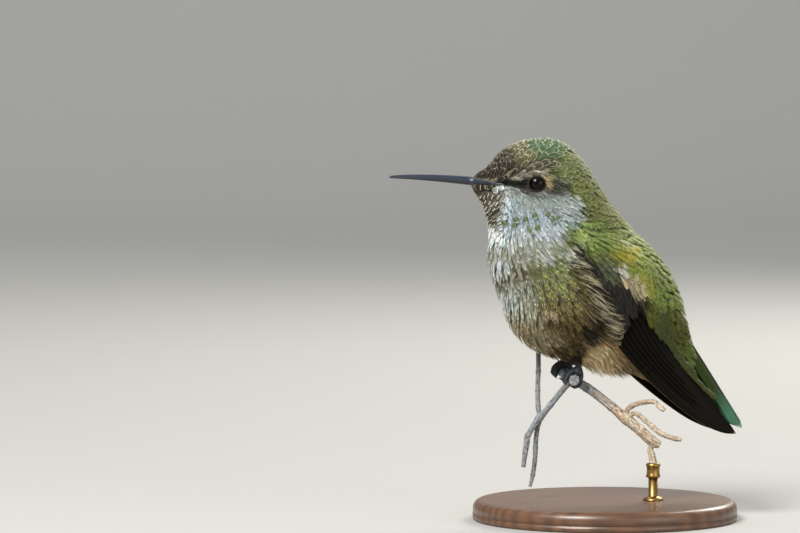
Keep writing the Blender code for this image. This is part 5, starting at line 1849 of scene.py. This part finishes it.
def build_stage():
    """The paper floor that rises behind the bird, four soft lights, the air and the camera."""
    finish = Finish("studio_paper")
    grain = finish.noise(40.0, 3.0)
    paper = finish.blend(grain * 0.2, paint(172, 171, 167), paint(166, 164, 160))
    material = finish.wear(paper, 0.85 + grain * 0.05)
    turns = np.linspace(0, math.pi / 2, 16)
    rise = zip(1400 + 500 * np.sin(turns), 500 - 500 * np.cos(turns))
    rows = [(-1600.0, 0.0), (400.0, 0.0), *rise, (1900.0, 2500.0)]
    points = np.array([(x, y, z) for y, z in rows for x in (-2500, 0, 2500)])
    faces = grid_faces(len(rows), 3, closed=False)
    floor = make_piece("studio_floor", points, [faces], material)
    turn = math.radians(CAMERA_TURN)
    spin = np.array([[math.cos(turn), -math.sin(turn), 0], [math.sin(turn), math.cos(turn), 0], [0, 0, 1]])
    co = np.array([v.co[:] for v in floor.data.vertices]) @ spin.T
    floor.data.vertices.foreach_set("co", co.astype(np.float32).ravel())

    for name, (place, aim, size, power, colour) in LAMPS.items():
        data = bpy.data.lights.new(name, "AREA")
        data.shape = "DISK"
        data.size = size
        data.energy = power
        data.color = colour
        lamp = placed_object(name, data)
        lamp.location = place
        lamp.rotation_euler = (Vector(aim) - Vector(place)).to_track_quat("-Z", "Y").to_euler()
    world = bpy.data.worlds.new("studio_air")
    world.use_nodes = True
    air = world.node_tree.nodes["Background"].inputs
    air["Color"].default_value = (0.9, 0.93, 0.97, 1.0)
    air["Strength"].default_value = 0.4
    bpy.context.scene.world = world
    bpy.context.scene.view_settings.view_transform = "Standard"

    azimuth, elevation = math.radians(CAMERA_TURN), math.radians(CAMERA_RISE)
    level = math.cos(elevation)
    right = Vector((math.cos(azimuth), math.sin(azimuth), 0))
    back = Vector((math.sin(azimuth) * level, -math.cos(azimuth) * level, math.sin(elevation)))
    target = right * AIM_RIGHT + Vector((0, 0, AIM_HEIGHT))
    lens = bpy.data.cameras.new("camera")
    lens.lens = CAMERA_LENS
    lens.sensor_width = CAMERA_SENSOR
    lens.clip_start = 0.02
    camera = placed_object("camera", lens)
    camera.location = target + back * CAMERA_DISTANCE
    camera.rotation_euler = back.to_track_quat("Z", "Y").to_euler()
    bpy.context.scene.camera = camera


# ================================================================ add-on
def colour_choice(name, description, default):
    return FloatVectorProperty(name=name, description=description, default=default, min=0.0, max=1.0,
                               subtype="COLOR")


class HummingbirdSizes(bpy.types.PropertyGroup):
    """Sizes and colours that a user would change."""

    feather_density: FloatProperty(
        name="Feather density", description="How closely the feathers stand, 1 being the usual number",
        default=1.0, min=0.5, max=1.4)
    bark_relief: FloatProperty(
        name="Bark relief", description="How deep the twig's ridges and knots are", default=0.00009, min=0.0,
        max=0.0003, precision=5, subtype="DISTANCE", unit="LENGTH")
    # The bill's colour is black horn with a painted blue reflection of the sky.
    horn_and_reflection_colour: colour_choice(
        "Bill colour", "The middle colour of the upper half of the bill", (0.012, 0.02, 0.036))
    eye_colour: colour_choice("Iris colour", "The ring round each eye's pupil", (0.006, 0.004, 0.0025))
    wood_colour: colour_choice("Base colour", "The middle colour of the wooden base", (0.096, 0.045, 0.022))
    brass_colour: colour_choice(
        "Rod colour", "The middle colour of the rod and its collar", (0.36, 0.22, 0.07))


class HUMMINGBIRD_OT_stage(bpy.types.Operator):
    """Sets the floor, the soft lights and the camera"""

    bl_idname = "hummingbird.stage"
    bl_label = "Stage"

    def execute(self, context):
        build_stage()
        return {"FINISHED"}


class HUMMINGBIRD_OT_skin(bpy.types.Operator):
    """Lays one skin under the whole coat, with the lids of both eyes"""

    bl_idname = "hummingbird.skin"
    bl_label = "Skin"

    def execute(self, context):
        build_skin()
        return {"FINISHED"}


class HUMMINGBIRD_OT_coat(bpy.types.Operator):
    """Grows the body's feathers, tract by tract"""

    bl_idname = "hummingbird.coat"
    bl_label = "Body feathers"

    def execute(self, context):
        grow_body_coat(context.scene.hummingbird_sizes.feather_density)
        return {"FINISHED"}


class HUMMINGBIRD_OT_wings(bpy.types.Operator):
    """Builds both folded wings"""

    bl_idname = "hummingbird.wings"
    bl_label = "Wings"

    def execute(self, context):
        for side_name in SIDES:
            build_wing(side_name, context.scene.hummingbird_sizes.feather_density)
        return {"FINISHED"}


class HUMMINGBIRD_OT_tail(bpy.types.Operator):
    """Builds the closed tail"""

    bl_idname = "hummingbird.tail"
    bl_label = "Tail"

    def execute(self, context):
        build_tail()
        return {"FINISHED"}


class HUMMINGBIRD_OT_bill(bpy.types.Operator):
    """Builds both halves of the bill"""

    bl_idname = "hummingbird.bill"
    bl_label = "Bill"

    def execute(self, context):
        build_bill(context.scene.hummingbird_sizes.horn_and_reflection_colour)
        return {"FINISHED"}


class HUMMINGBIRD_OT_eyes(bpy.types.Operator):
    """Builds both eyes"""

    bl_idname = "hummingbird.eyes"
    bl_label = "Eyes"

    def execute(self, context):
        build_eyes(context.scene.hummingbird_sizes.eye_colour)
        return {"FINISHED"}


class HUMMINGBIRD_OT_feet(bpy.types.Operator):
    """Builds the legs with their thigh feathers, the feet and the claws"""

    bl_idname = "hummingbird.feet"
    bl_label = "Feet"

    def execute(self, context):
        build_feet()
        build_thighs()
        return {"FINISHED"}


class HUMMINGBIRD_OT_perch(bpy.types.Operator):
    """Builds the forked twig under one bark"""

    bl_idname = "hummingbird.perch"
    bl_label = "Perch"

    def execute(self, context):
        build_perch(context.scene.hummingbird_sizes.bark_relief)
        return {"FINISHED"}


class HUMMINGBIRD_OT_stand(bpy.types.Operator):
    """Builds the display stand: its base, rod and collar"""

    bl_idname = "hummingbird.stand"
    bl_label = "Stand"

    def execute(self, context):
        sizes = context.scene.hummingbird_sizes
        build_stand(sizes.wood_colour, sizes.brass_colour)
        return {"FINISHED"}


OPERATORS = [HUMMINGBIRD_OT_stage, HUMMINGBIRD_OT_skin, HUMMINGBIRD_OT_coat, HUMMINGBIRD_OT_wings,
             HUMMINGBIRD_OT_tail, HUMMINGBIRD_OT_bill, HUMMINGBIRD_OT_eyes, HUMMINGBIRD_OT_feet,
             HUMMINGBIRD_OT_perch, HUMMINGBIRD_OT_stand]


class VIEW3D_PT_hummingbird(bpy.types.Panel):
    """Lists the bird's pieces"""

    bl_label = "Hummingbird"
    bl_space_type = "VIEW_3D"
    bl_region_type = "UI"
    bl_category = "Hummingbird"

    def draw(self, context):
        layout = self.layout
        for name in HummingbirdSizes.__annotations__:
            layout.prop(context.scene.hummingbird_sizes, name)
        for operator in OPERATORS:
            layout.operator(operator.bl_idname)


CLASSES = [HummingbirdSizes, *OPERATORS, VIEW3D_PT_hummingbird]


def register():
    for one in CLASSES:
        bpy.utils.register_class(one)
    bpy.types.Scene.hummingbird_sizes = PointerProperty(type=HummingbirdSizes)


def unregister():
    del bpy.types.Scene.hummingbird_sizes
    for one in reversed(CLASSES):
        bpy.utils.unregister_class(one)


def corners(box):
    return [[float(v) for v in corner] for corner in box]


def main():
    register()
    for operator in OPERATORS:
        group, name = operator.bl_idname.split(".")
        getattr(getattr(bpy.ops, group), name)()
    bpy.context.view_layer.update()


if __name__ == "__main__":
    main()
